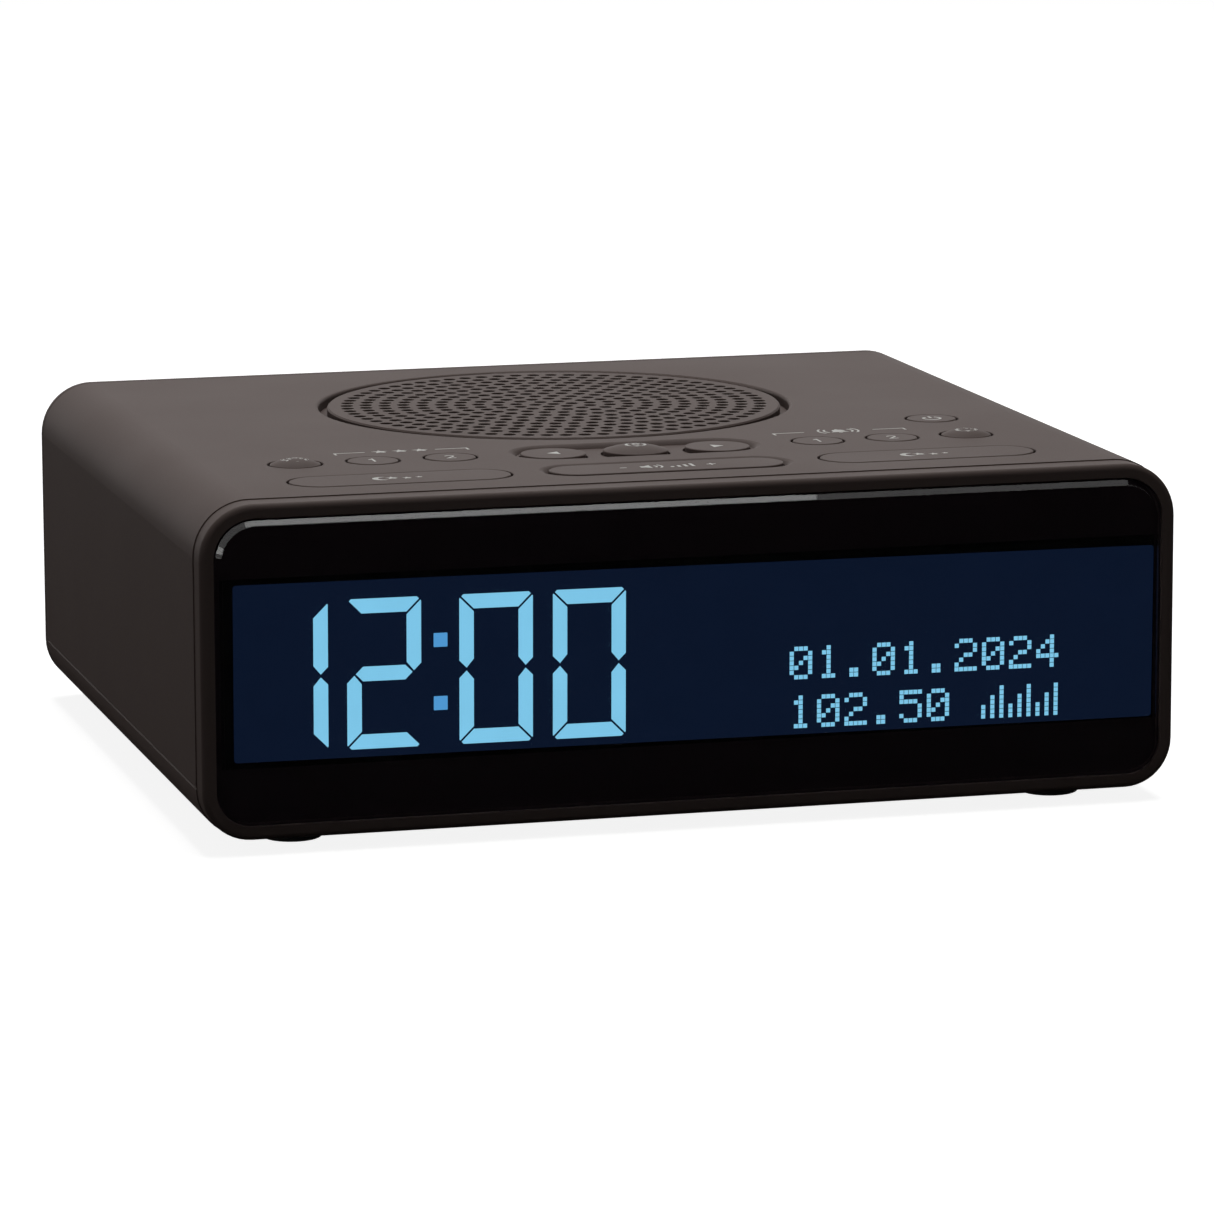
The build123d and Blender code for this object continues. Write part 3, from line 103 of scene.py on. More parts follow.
class RadioFinish(bpy.types.PropertyGroup):
    """Colours of the case, its printing and the display."""

    case_colour: FloatVectorProperty(
        name="Case", description="Moulded case and keys", default=linear("#655854"), **COLOUR)
    ink_colour: FloatVectorProperty(
        name="Ink", description="Printed marks on keys and top", default=linear("#E4E3DE"), **COLOUR)
    field_colour: FloatVectorProperty(
        name="Display", description="Unlit field of the display", default=linear("#0D182D"), **COLOUR)
    digit_colour: FloatVectorProperty(
        name="Digits", description="Lit digits and dots", default=linear("#84CFF3"), **COLOUR)
    colon_colour: FloatVectorProperty(
        name="Colon", description="Colon between hours and minutes", default=linear("#549FDC"), **COLOUR)


class RadioGrille(bpy.types.PropertyGroup):
    """Perforated disc over the speaker."""

    hole_radius: FloatProperty(
        name="Hole radius", description="Radius of each hole in millimetres", default=1.2, min=0.3)
    ring_pitch: FloatProperty(
        name="Ring pitch", description="From one ring of holes to the next in millimetres",
        default=3.61, min=1.0)
    hole_step: FloatProperty(
        name="Hole step", description="From one hole to the next along a ring in millimetres",
        default=3.5, min=1.0)
    rings: IntProperty(name="Rings", description="Rings around the middle hole", default=11, min=1)
    chamfer: FloatProperty(
        name="Edge", description="Softened edge of each hole in millimetres", default=0.08, min=0.01)
    hole_sides: IntProperty(name="Hole sides", description="Sides of each hole", default=20, min=6)


class RadioDisplay(bpy.types.PropertyGroup):
    """Digits and dots of the display."""

    digit_height: FloatProperty(
        name="Digit height", description="Height of a digit in millimetres", default=26.8, min=1)
    digit_width: FloatProperty(
        name="Digit width", description="Width of a digit in millimetres", default=13.35, min=1)
    stroke: FloatProperty(
        name="Segment", description="Width of a segment in millimetres", default=2.62, min=0.2)
    gap: FloatProperty(
        name="Gap", description="Dark line between two segments in millimetres", default=0.5, min=0.01)
    corner: FloatProperty(
        name="Corner", description="Cut off each outer corner of a digit in millimetres", default=0.75,
        min=0.5)
    dot_pitch: FloatProperty(
        name="Dot pitch", description="From one dot to the next in millimetres", default=0.861, min=0.1)
    dot_size: FloatProperty(
        name="Dot", description="Side of a dot in millimetres", default=0.76, min=0.05)


class RadioMarks(bpy.types.PropertyGroup):
    """Printing on the keys and the top."""

    thickness: FloatProperty(
        name="Ink", description="How far the ink stands up in millimetres", default=0.01, min=0.002)
    line: FloatProperty(
        name="Line", description="Width of a printed line in millimetres", default=0.5, min=0.05)


class RadioStage(bpy.types.PropertyGroup):
    """Light and camera."""

    top_light: FloatProperty(
        name="Top light", description="Power of the softbox above in watts", default=7.4, min=0,
        subtype="POWER", unit="POWER")
    side_light: FloatProperty(
        name="Side light", description="Power of the softbox at the left in watts", default=0.35,
        min=0, subtype="POWER", unit="POWER")
    ambient: FloatProperty(
        name="Room", description="Brightness of the room around", default=0.04, min=0, max=1)
    lens: FloatProperty(
        name="Lens", description="Focal length on a 36 mm sensor", default=181.8, min=1,
        unit="CAMERA")


# Materials


def add(tree, kind, inputs=None, **settings):
    """Adds a node with its settings, and sets or links its inputs by name or number."""
    made = tree.nodes.new(kind)
    for name, value in settings.items():
        setattr(made, name, value)
    for name, value in (inputs or {}).items():
        if isinstance(value, bpy.types.NodeSocket):
            tree.links.new(value, made.inputs[name])
        else:
            made.inputs[name].default_value = value
    return made


def new_material(name):
    """An empty material and its tree."""
    material = bpy.data.materials.new(name)
    material.use_nodes = True
    material.node_tree.nodes.clear()
    return material, material.node_tree


def surface(name, colours, roughness, pattern, size, depth, stretch=(1, 1, 1), drift=25.0, spread=0.05,
            **shader):
    """A material with two colours that drift into each other and a raised pattern of a real size.

    pattern is a texture node's kind, and stretch draws it out. size, depth and drift are in millimetres.
    """
    material, tree = new_material(name)
    coords = add(tree, "ShaderNodeTexCoord").outputs["Object"]
    drawn = add(tree, "ShaderNodeMapping", {"Vector": coords, "Scale": stretch}).outputs["Vector"]
    cloud = add(tree, NOISE, {"Vector": coords, "Scale": per_mm(drift), "Detail": 3.0})
    fine = add(tree, pattern, {"Vector": drawn, "Scale": per_mm(size, pattern)})
    height = fine.outputs["Distance" if pattern == CELLS else "Fac"]
    both = add(tree, "ShaderNodeMath", {0: cloud.outputs["Fac"], 1: height}, operation="ADD")
    half = add(tree, "ShaderNodeMath", {0: both.outputs[0], 1: 0.5}, operation="MULTIPLY")
    tint = add(tree, "ShaderNodeMix", {0: half.outputs[0], 6: colours[0], 7: colours[1]}, data_type="RGBA")
    gloss = add(tree, "ShaderNodeMapRange", {
        "Value": half.outputs[0], "From Min": 0.25, "From Max": 0.75,
        "To Min": roughness - spread, "To Max": roughness + spread})
    bump = add(tree, "ShaderNodeBump", {"Height": height, "Distance": depth * MM, "Strength": 1.0})
    shade = add(tree, "ShaderNodeBsdfPrincipled", {
        "Base Color": tint.outputs[2], "Roughness": gloss.outputs[0], "Normal": bump.outputs[0], **shader})
    add(tree, "ShaderNodeOutputMaterial", {"Surface": shade.outputs[0]})
    return material


def shaded(colour, share):
    """A linear colour times a share, for the second colour of a surface."""
    return [c * share for c in colour[:3]] + [1.0]


def hexes(*colours):
    """Several sRGB hex colours as linear ones."""
    return [linear(colour) for colour in colours]


def case_plastic(name, roughness):
    """Satin ABS from a spark-eroded mould: a fine, even grain that spreads the light softly."""
    colour = list(chosen("radio_finish").case_colour)
    # The mould's grain of about 0.1 mm is drawn at 0.28 mm, the finest that shows.
    shell = {"IOR": 1.53, "Specular IOR Level": 0.1}
    return surface(name, (colour, shaded(colour, 0.86)), roughness, NOISE, 0.28, 0.006, drift=40.0, **shell)


def inner_finishes():
    """Materials of the works inside and of the small fittings, by the record's slot."""
    # Name, two colours, roughness, pattern, its size and depth, and what else it has
    rows = {
        # Natural ABS, moulded without a texture: faint flow marks
        "inner_plastic": (
            "abs_black_moulded_plain", "#1B1B1C", "#232324", 0.42, NOISE, 3.0, 0.02, dict(IOR=1.53)),
        # Silicone rubber, moulded: matt, with a trace of dust
        "foot_rubber": (
            "silicone_rubber_moulded", "#161616", "#262625", 0.82, NOISE, 0.6, 0.03,
            dict(drift=4.0, IOR=1.41)),
        # Open-cell foam: small round cells
        "gasket_foam": (
            "polyurethane_foam_cut", "#1A1A1B", "#303032", 0.95, CELLS, 0.5, 0.15, dict(drift=6.0)),
        # Film tape, coated: smooth, with a slight wrinkle
        "tape_film": (
            "polyester_film_coated", "#131314", "#1C1C1D", 0.35, NOISE, 5.0, 0.02, dict(IOR=1.6)),
        # Pressed paper pulp: matt, with short fibres
        "cone_paper": (
            "paper_pulp_pressed", "#1A1917", "#2B2926", 0.9, NOISE, 0.5, 0.06,
            dict(stretch=(1, 1, 3), drift=5.0)),
        # Resin-dipped cotton: an open weave
        "spider_cloth": (
            "cotton_resin_dipped", "#8A6A35", "#A8854A", 0.8, WAVES, 0.8, 0.1, dict(drift=6.0)),
        # Enamelled copper wire, wound in turns
        "coil_copper": (
            "copper_enamelled_wound", "#B0603A", "#8E4426", 0.3, WAVES, 0.35, 0.05,
            dict(drift=4.0, Metallic=1.0)),
        # Zinc-plated pressed steel: bluish, with a fine rolled grain
        "speaker_steel": (
            "steel_zinc_plated_pressed", "#8F949A", "#A9AEB3", 0.36, NOISE, 0.6, 0.01,
            dict(stretch=(1, 8, 1), drift=9.0, Metallic=1.0)),
        # Sintered ferrite: dark grey, dry and gritty
        "magnet_ferrite": (
            "ferrite_sintered", "#2A2A2C", "#3A3A3C", 0.7, CELLS, 0.7, 0.04, dict(drift=7.0)),
        # Glass-epoxy laminate under a green resist, with the weave showing through
        "board_laminate": (
            "glass_epoxy_laminate_coated", "#12402A", "#1B5A3B", 0.3, WAVES, 1.2, 0.02,
            dict(drift=3.0, IOR=1.55)),
        # Shrunk sleeve on the capacitors: glossy, with stretch marks
        "capacitor_sleeve": (
            "pvc_sleeve_shrunk", "#1B2433", "#26334A", 0.28, NOISE, 2.0, 0.02, dict(stretch=(1, 1, 0.2))),
        # Black zinc on the screws: dark metal with turning marks
        "screw_steel": (
            "steel_black_zinc_turned", "#3A3B3E", "#55575B", 0.34, WAVES, 0.3, 0.01,
            dict(drift=2.0, Metallic=1.0)),
        # Moulded light guide: milky acrylic with printed dots
        "light_guide_acrylic": (
            "acrylic_opal_moulded", "#C9D2D8", "#DDE4E8", 0.3, CELLS, 1.2, 0.02, dict(IOR=1.49)),
        # Float glass with a black film: deep and smooth
        "display_glass": (
            "glass_float_blacked", "#030304", "#060607", 0.12, NOISE, 6.0, 0.002,
            dict(spread=0.02, IOR=1.52)),
    }
    return {slot: surface(name, hexes(first, second), *numbers, **more)
            for slot, (name, first, second, *numbers, more) in rows.items()}


def acrylic_clear():
    """Cast acrylic, cut and flame-polished: clear and wet-looking, with bright cut edges."""
    material, tree = new_material("acrylic_cast_polished")
    coords = add(tree, "ShaderNodeTexCoord").outputs["Object"]
    # Polishing haze in clouds of some 15 mm, and a trace of warmth in the sheet
    haze = add(tree, NOISE, {"Vector": coords, "Scale": per_mm(15.0), "Detail": 2.0}).outputs["Fac"]
    gloss = add(tree, "ShaderNodeMapRange", {"Value": haze, "To Min": 0.0, "To Max": 0.03}).outputs[0]
    tint = add(tree, "ShaderNodeMix", {0: haze, 6: linear("#FBFBFA"), 7: linear("#F6F7F7")},
               data_type="RGBA")
    shade = add(tree, "ShaderNodeBsdfPrincipled", {
        "Base Color": tint.outputs[2], "Roughness": gloss, "IOR": 1.49, "Transmission Weight": 1.0})
    add(tree, "ShaderNodeOutputMaterial", {"Surface": shade.outputs[0]})
    return material


def lit(name, colour, share, size, strength):
    """A lit film: a glow that varies a little over the light guide, and fine cross lines of the cells."""
    material, tree = new_material(name)
    coords = add(tree, "ShaderNodeTexCoord").outputs["Object"]
    cloud = add(tree, NOISE, {"Vector": coords, "Scale": per_mm(7.0), "Detail": 2.0}).outputs["Fac"]
    lines = [
        add(tree, WAVES, {"Vector": coords, "Scale": per_mm(size, WAVES)}, bands_direction=way)
        for way in ("X", "Z")
    ]
    cross = add(tree, "ShaderNodeMath", {0: lines[0].outputs["Fac"], 1: lines[1].outputs["Fac"]},
                operation="MULTIPLY")
    blend = add(tree, "ShaderNodeMath", {0: cross.outputs[0], 1: 0.4, 2: cloud}, operation="MULTIPLY_ADD")
    tint = add(tree, "ShaderNodeMix", {0: blend.outputs[0], 6: shaded(colour, share), 7: list(colour)},
               data_type="RGBA", clamp_factor=True)
    shade = add(tree, "ShaderNodeBsdfPrincipled", {
        "Base Color": linear("#020203"), "Roughness": 0.3, "Specular IOR Level": 0.0,
        "Emission Color": tint.outputs[2], "Emission Strength": strength})
    add(tree, "ShaderNodeOutputMaterial", {"Surface": shade.outputs[0]})
    return material


# Shapes


def put(name, data):
    """A new object of the scene with that mesh, lamp or camera."""
    made = bpy.data.objects.new(name, data)
    bpy.context.scene.collection.objects.link(made)
    return made


def closed_piece(name, bm, material):
    """A piece from a closed bmesh in metres, with its faces turned out."""
    bmesh.ops.recalc_face_normals(bm, faces=bm.faces)
    mesh = bpy.data.meshes.new(name)
    bm.to_mesh(mesh)
    bm.free()
    mesh.materials.append(material)
    return put(name, mesh)


def mesh_piece(name, bm, material, body):
    """A closed piece that rides on its body."""
    piece = closed_piece(name, bm, material)
    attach(piece, body)
    return piece


def smooth(mesh):
    """Shades a mesh smooth, with its sharp edges kept."""
    mesh.shade_smooth()
    mesh.set_sharp_from_angle(angle=math.radians(SHARP))


def stroke(points, width):
    """Outline of a line of that width through points, mitred at its corners."""
    normals = []
    for (x0, y0), (x1, y1) in zip(points, points[1:]):
        length = math.hypot(x1 - x0, y1 - y0)
        normals.append(Vector(((y0 - y1) / length, (x1 - x0) / length)))
    left, right = [], []
    for i, point in enumerate(points):
        before, after = normals[max(i - 1, 0)], normals[min(i, len(normals) - 1)]
        across = (before + after).normalized()
        reach = across * (width / 2 / max(across.dot(after), 0.3))
        left.append((point[0] + reach.x, point[1] + reach.y))
        right.append((point[0] - reach.x, point[1] - reach.y))
    return left + right[::-1]


def turn(x, y, radius, start, end, steps=24):
    """Points along an arc, from one angle to another in degrees."""
    angles = [math.radians(start + (end - start) * i / steps) for i in range(steps + 1)]
    return [(x + radius * math.cos(a), y + radius * math.sin(a)) for a in angles]


def ring(x, y, radius, width):
    """A printed ring, as two halves."""
    return [stroke(turn(x, y, radius, start, start + 180), width) for start in (0, 180)]


def band(bm, first, second):
    """Faces all round between two loops of corners."""
    for i in range(len(first)):
        j = (i + 1) % len(first)
        bm.faces.new((first[i], first[j], second[j], second[i]))


def plates(bm, outlines, to_place, depth):
    """Adds flat closed plates of that depth, from outlines in millimetres, set by a matrix."""
    for outline in outlines:
        area = sum(a[0] * b[1] - b[0] * a[1] for a, b in zip(outline, outline[1:] + outline[:1]))
        loop = outline if area > 0 else outline[::-1]
        lower = [bm.verts.new(to_place @ Vector((x, y, 0)) * MM) for x, y in loop]
        upper = [bm.verts.new(to_place @ Vector((x, y, depth)) * MM) for x, y in loop]
        bm.faces.new(upper)
        bm.faces.new(lower[::-1])
        band(bm, lower, upper)


def lens_outline(inset):
    """Outline of the lens in the front view, from its packed box, drawn in by an inset."""
    low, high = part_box("front_lens")
    points = []
    corners = (
        (1, -1, LENS_BOTTOM_R, 270), (1, 1, LENS_TOP_R, 0),
        (-1, 1, LENS_TOP_R, 90), (-1, -1, LENS_BOTTOM_R, 180),
    )
    for side, rise, radius, start in corners:
        x = side * (high.x / MM - radius)
        z = high.z / MM - radius if rise > 0 else low.z / MM + radius
        points += turn(x, z, radius - inset, start, start + 90)
    return points


def dress(material, *names):
    """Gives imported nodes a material."""
    for name in names:
        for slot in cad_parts[name].material_slots:
            slot.material = material


def chosen(name):
    """A group of the user's values."""
    return getattr(bpy.context.scene, name)


# Printed signs, as outlines in millimetres about their own middle


def sign_one(line):
    """Numeral one."""
    return [stroke([(-0.6, 0.8), (0.1, 1.5), (0.1, -1.55)], line)]


def sign_two(line):
    """Numeral two."""
    bow = turn(0, 0.78, 0.72, 165, -35, 16)
    return [stroke(bow + [(-0.72, -1.35), (0.8, -1.35)], line)]


def sign_arrow(side):
    """Solid triangle that points to one side."""
    return [[(side * 1.2, 0), (-side * 1.05, 1.5), (-side * 1.05, -1.5)]]


def sign_aerial(line):
    """Mast with waves on both sides."""
    waves = [stroke(turn(0, 0.5, radius, way - 48, way + 48, 14), line)
             for radius in (1.25, 2.3) for way in (0, 180)]
    return [stroke([(0, -2.2), (0, 0.1)], line), turn(0, 0.5, 0.55, 0, 345, 23)] + waves


def sign_star(radius, x=0.0, y=0.0):
    """Outline of a five-pointed star."""
    points = []
    for i in range(10):
        reach = radius if i % 2 == 0 else 0.42 * radius
        angle = math.radians(90 + 36 * i)
        points.append((x + reach * math.cos(angle), y + reach * math.sin(angle)))
    return points


def sign_bell(line):
    """Ringing bell: crown, clapper and two arcs of sound on each side."""
    body = [(1.75, -1.2), (1.2, -0.6)] + turn(0, 0.45, 1.15, 0, 180, 16) + [(-1.2, -0.6), (-1.75, -1.2)]
    sound = [stroke(turn(0, 0.2, radius, way - 38, way + 38, 12), line)
             for radius in (2.7, 3.8) for way in (0, 180)]
    return [body, turn(0, -1.55, 0.42, 180, 360, 10), turn(0, 1.72, 0.3, 0, 345, 15)] + sound


def sign_moon(radius):
    """Crescent followed by three stars, each smaller than the last."""
    outer = turn(0, 0, radius, 53.9, 306.1, 28)
    inner = turn(0.45 * radius, 0, 0.82 * radius, 279.8, 80.2, 24)
    moon = [(x - 3.4, y) for x, y in outer + inner[1:-1]]
    return [moon, sign_star(1.3, -1.5, 0.2), sign_star(1.0, 1.2, -0.3), sign_star(0.75, 3.5, 0.2)]


def sign_speaker(line):
    """Loudspeaker with two waves, and four bars that grow."""
    horn = [(-4.9, -0.7), (-4.1, -0.7), (-3.0, -1.6), (-3.0, 1.6), (-4.1, 0.7), (-4.9, 0.7)]
    waves = [stroke(turn(-3.2, 0, radius, -42, 42, 14), line) for radius in (1.3, 2.3)]
    bars = [stroke([(x, -1.5), (x, 3.0 * rise - 1.5)], 1.5 * line)
            for x, rise in ((0.8, 0.3), (2.1, 0.5), (3.4, 0.75), (4.7, 1.0))]
    return [horn] + waves + bars


def sign_ring(line):
    """Ring around a dot."""
    return ring(0, 0, 1.75, line) + [turn(0, 0, 0.75, 0, 345, 23)]


def sign_clock(line):
    """Clock face with two hands."""
    return ring(0, 0, 1.85, line) + [stroke([(0, 1.1), (0, -0.1), (0.85, -0.6)], line)]


def sign_power(line):
    """Open ring with a bar."""
    return [stroke(turn(0, -0.2, 1.6, 122, 418, 30), line), stroke([(0, 0.2), (0, 2.0)], line)]


def sign_plus(line, reach):
    """Plus, as one cross."""
    h = line / 2
    return [[(reach, -h), (reach, h), (h, h), (h, reach), (-h, reach), (-h, h), (-reach, h), (-reach, -h),
             (-h, -h), (-h, -reach), (h, -reach), (h, -h)]]


# Operators, one for each piece or group of like pieces


class RADIO_OT_case(bpy.types.Operator):
    """Finishes the four mouldings of the case and prints the brackets behind the keys"""

    bl_idname = "radio.case"
    bl_label = "Case"

    # Outer end, turned to the front, and inner end of each bracket, and its row, in millimetres
    BRACKETS = ((-54.3, -48.6, 51.8), (-29.5, -35.4, 51.8), (29.4, 35.4, 52.4), (54.7, 48.8, 52.4))
    BRACKET_DROP = 1.9
    STARS = (-42.0, 51.7)
    STAR_R, STAR_STEP = 1.6, 3.8
    BELL = (42.1, 52.3)

    def execute(self, context):
        marks = chosen("radio_marks")
        shell = case_plastic("abs_satin_spark_eroded", roughness=0.6)
        dress(shell, "top_shell", "base_cover", "rear_cover")
        dress(case_plastic("abs_satin_bezel", roughness=0.57), "front_bezel")
        line = THIN * marks.line
        signs = []
        for outer, inner, row in self.BRACKETS:
            y = FRONT + row
            signs.append(stroke([(outer, y - self.BRACKET_DROP), (outer, y), (inner, y)], line))
        x, row = self.STARS
        signs += [sign_star(self.STAR_R, x + i * self.STAR_STEP, FRONT + row) for i in (-1, 0, 1)]
        shift, row = self.BELL
        signs += [[(x + shift, y + FRONT + row) for x, y in part] for part in sign_bell(line)]
        bm = bmesh.new()
        plates(bm, signs, Matrix.Translation((0, 0, ROOF - INK_ROOT)), INK_ROOT + marks.thickness)
        mesh_piece("case_print", bm, ink(), "cabinet")
        return {"FINISHED"}


def ink():
    """Pad-printed white ink: matt, slightly uneven where the pad lifted."""
    name = "ink_white_pad_printed"
    made = bpy.data.materials.get(name)
    colour = list(chosen("radio_finish").ink_colour)
    return made or surface(name, (colour, shaded(colour, 0.8)), 0.6, NOISE, 0.4, 0.004, drift=2.0)


class RADIO_OT_keys(bpy.types.Operator):
    """Finishes the thirteen controls and prints a sign on each"""

    bl_idname = "radio.keys"
    bl_label = "Keys"

    def execute(self, context):
        marks = chosen("radio_marks")
        line, thin = marks.line, THIN * marks.line
        signs = {
            "source_button": sign_aerial(line),
            "preset_button_1": sign_one(thin),
            "preset_button_2": sign_two(thin),
            "alarm_button_1": sign_one(thin),
            "alarm_button_2": sign_two(thin),
            "sleep_button": sign_clock(line),
            "standby_button": sign_power(line),
            "previous_button": sign_arrow(-1),
            "select_button": sign_ring(line),
            "next_button": sign_arrow(1),
            "snooze_bar_left": sign_moon(radius=1.7),
            "snooze_bar_right": sign_moon(radius=1.7),
            "volume_rocker": volume_signs(thin),
        }
        plastic = case_plastic("abs_satin_keys", roughness=0.58)
        for name, outlines in signs.items():
            dress(plastic, name)
            low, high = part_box(name)
            middle = Vector(((low.x + high.x) / 2, (low.y + high.y) / 2, 0)) / MM
            rooted = Matrix.Translation(middle - Vector((0, 0, INK_ROOT)))
            bm = bmesh.new()
            plates(bm, outlines, rooted, INK_ROOT + marks.thickness)
            lay_down(bm, name, high.z)
            mesh_piece(f"{name}_print", bm, ink(), f"{name}_body")
        return {"FINISHED"}


def lay_down(bm, name, top):
    """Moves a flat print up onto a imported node's top, which may be domed."""
    solid = bmesh.new()
    solid.from_mesh(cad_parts[name].data)
    tree = BVHTree.FromBMesh(solid)
    for vert in bm.verts:
        above = Vector((vert.co.x, vert.co.y, top + MM))
        vert.co.z += tree.ray_cast(above, Vector((0, 0, -1)))[0].z
    solid.free()


def volume_signs(line):
    """Minus, loudspeaker and plus along the rocker."""
    minus = stroke([(-8.7, 0), (-7.5, 0)], line)
    plus = [(x + 8.3, y) for x, y in sign_plus(line, 0.85)[0]]
    return [minus, plus] + sign_speaker(line)


class RADIO_OT_grille(bpy.types.Operator):
    """Builds the perforated disc over the speaker from rings of holes"""

    bl_idname = "radio.grille"
    bl_label = "Grille"

    RIM_EDGE = 0.3

    def execute(self, context):
        sizes = chosen("radio_grille")
        low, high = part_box("speaker_grille")
        middle = (low + high) / 2
        inputs = {
            "Disc Radius": (high.x - low.x) / 2,
            "Disc Edge": self.RIM_EDGE * MM,
            "Thickness": high.z - low.z,
            "Hole Radius": sizes.hole_radius * MM,
            "Hole Edge": sizes.chamfer * MM,
            "Hole Sides": sizes.hole_sides,
            "Place": (middle.x, middle.y, low.z),
            "Material": case_plastic("abs_satin_grille", roughness=0.6),
        }
        piece = grown("grille_disc", hole_centres(sizes), perforated_disc(), inputs)
        smooth(piece.data)
        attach(piece, "cabinet")
        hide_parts("speaker_grille")
        return {"FINISHED"}


def hole_centres(sizes):
    """Middles of the grille's holes, ring by ring, in metres."""
    places = [(0.0, 0.0, 0.0)]
    for number in range(1, sizes.rings + 1):
        radius = number * sizes.ring_pitch
        count = round(math.tau * radius / sizes.hole_step)
        for i in range(count):
            angle = math.tau * i / count
            places.append((radius * math.cos(angle) * MM, radius * math.sin(angle) * MM, 0.0))
    return places


def new_tree(name, sockets):
    """A geometry tree with named inputs, its input node and a geometry output."""
    tree = bpy.data.node_groups.new(name, "GeometryNodeTree")
    tree.interface.new_socket("Geometry", in_out="INPUT", socket_type="NodeSocketGeometry")
    for label, kind in sockets.items():
        tree.interface.new_socket(label, in_out="INPUT", socket_type=kind)
    tree.interface.new_socket("Geometry", in_out="OUTPUT", socket_type="NodeSocketGeometry")
    return tree, tree.nodes.new("NodeGroupInput").outputs


def grown(name, points, tree, inputs):
    """An object whose mesh a geometry tree grows from points, turned into a plain mesh."""
    seed = bpy.data.meshes.new(name)
    seed.from_pydata(points, [], [])
    piece = bpy.data.objects.new(name, seed)
    modifier = piece.modifiers.new("grow", "NODES")
    modifier.node_group = tree
    for item in tree.interface.items_tree:
        if item.item_type == "SOCKET" and item.in_out == "INPUT" and item.name in inputs:
            modifier[item.identifier] = inputs[item.name]
    bpy.context.scene.collection.objects.link(piece)
    grown_piece = piece.evaluated_get(bpy.context.evaluated_depsgraph_get())
    mesh = bpy.data.meshes.new_from_object(grown_piece)
    if not mesh.polygons:
        raise RuntimeError(f"{name} came out empty")
    piece.modifiers.remove(modifier)
    piece.data = mesh
    mesh.name = name
    return piece


def perforated_disc():
    """Tree of the grille: a disc with a soft rim, and a lined hole at each point."""
    rim_sides = 180
    floats = ("Disc Radius", "Disc Edge", "Thickness", "Hole Radius", "Hole Edge")
    sockets = {label: "NodeSocketFloat" for label in floats}
    sockets.update({"Hole Sides": "NodeSocketInt", "Place": "NodeSocketVector",
                    "Material": "NodeSocketMaterial"})
    tree, given = new_tree("perforated_disc", sockets)

    def sum_of(a, b, operation="ADD"):
        return add(tree, "ShaderNodeMath", {0: a, 1: b}, operation=operation).outputs[0]

    def moved(geometry, z):
        place = add(tree, "ShaderNodeCombineXYZ", {"Z": z})
        inputs = {"Geometry": geometry, "Translation": place.outputs[0]}
        return add(tree, "GeometryNodeTransform", inputs).outputs[0]

    def sheet(disc_radius, hole_radius):
        """A flat disc, open at every hole."""
        rim = add(tree, "GeometryNodeCurvePrimitiveCircle",
                  {"Resolution": rim_sides, "Radius": disc_radius})
        hole = add(tree, "GeometryNodeCurvePrimitiveCircle",
                   {"Resolution": given["Hole Sides"], "Radius": hole_radius})
        holes = add(tree, "GeometryNodeInstanceOnPoints",
                    {"Points": given["Geometry"], "Instance": hole.outputs[0]})
        real = add(tree, "GeometryNodeRealizeInstances", {"Geometry": holes.outputs[0]})
        joined = add(tree, "GeometryNodeJoinGeometry", {"Geometry": rim.outputs[0]})
        tree.links.new(real.outputs[0], joined.inputs[0])
        return add(tree, "GeometryNodeFillCurve", {"Curve": joined.outputs[0]}, mode="TRIANGLES").outputs[0]

    def wall(radius, edge, sides, outward):
        """A tube with its upper edge softened, outward or inward."""
        shoulder = sum_of(given["Thickness"], edge, "SUBTRACT")
        rim_radius = sum_of(radius, edge, "SUBTRACT" if outward else "ADD")
        tube = add(tree, "GeometryNodeMeshCone", {
            "Vertices": sides, "Radius Top": radius, "Radius Bottom": radius, "Depth": shoulder},
            fill_type="NONE")
        slope = add(tree, "GeometryNodeMeshCone", {
            "Vertices": sides, "Radius Top": rim_radius, "Radius Bottom": radius, "Depth": edge},
            fill_type="NONE")
        joined = add(tree, "GeometryNodeJoinGeometry", {"Geometry": tube.outputs[0]})
        tree.links.new(moved(slope.outputs[0], shoulder), joined.inputs[0])
        if outward:
            return joined.outputs[0]
        return add(tree, "GeometryNodeFlipFaces", {"Mesh": joined.outputs[0]}).outputs[0]

    top = sheet(sum_of(given["Disc Radius"], given["Disc Edge"], "SUBTRACT"),
                sum_of(given["Hole Radius"], given["Hole Edge"]))
    bottom = add(tree, "GeometryNodeFlipFaces",
                 {"Mesh": sheet(given["Disc Radius"], given["Hole Radius"])})
    lining = add(tree, "GeometryNodeInstanceOnPoints", {
        "Points": given["Geometry"],
        "Instance": wall(given["Hole Radius"], given["Hole Edge"], given["Hole Sides"], False)})
    whole = add(tree, "GeometryNodeJoinGeometry", {"Geometry": moved(top, given["Thickness"])})
    for part in (bottom.outputs[0], lining.outputs[0],
                 wall(given["Disc Radius"], given["Disc Edge"], rim_sides, True)):
        tree.links.new(part, whole.inputs[0])
    placed = add(tree, "GeometryNodeTransform",
                 {"Geometry": whole.outputs[0], "Translation": given["Place"]})
    real = add(tree, "GeometryNodeRealizeInstances", {"Geometry": placed.outputs[0]})
    merged = add(tree, "GeometryNodeMergeByDistance", {"Geometry": real.outputs[0], "Distance": WELD})
    painted = add(tree, "GeometryNodeSetMaterial",
                  {"Geometry": merged.outputs[0], "Material": given["Material"]})
    add(tree, "NodeGroupOutput", {"Geometry": painted.outputs[0]})
    return tree


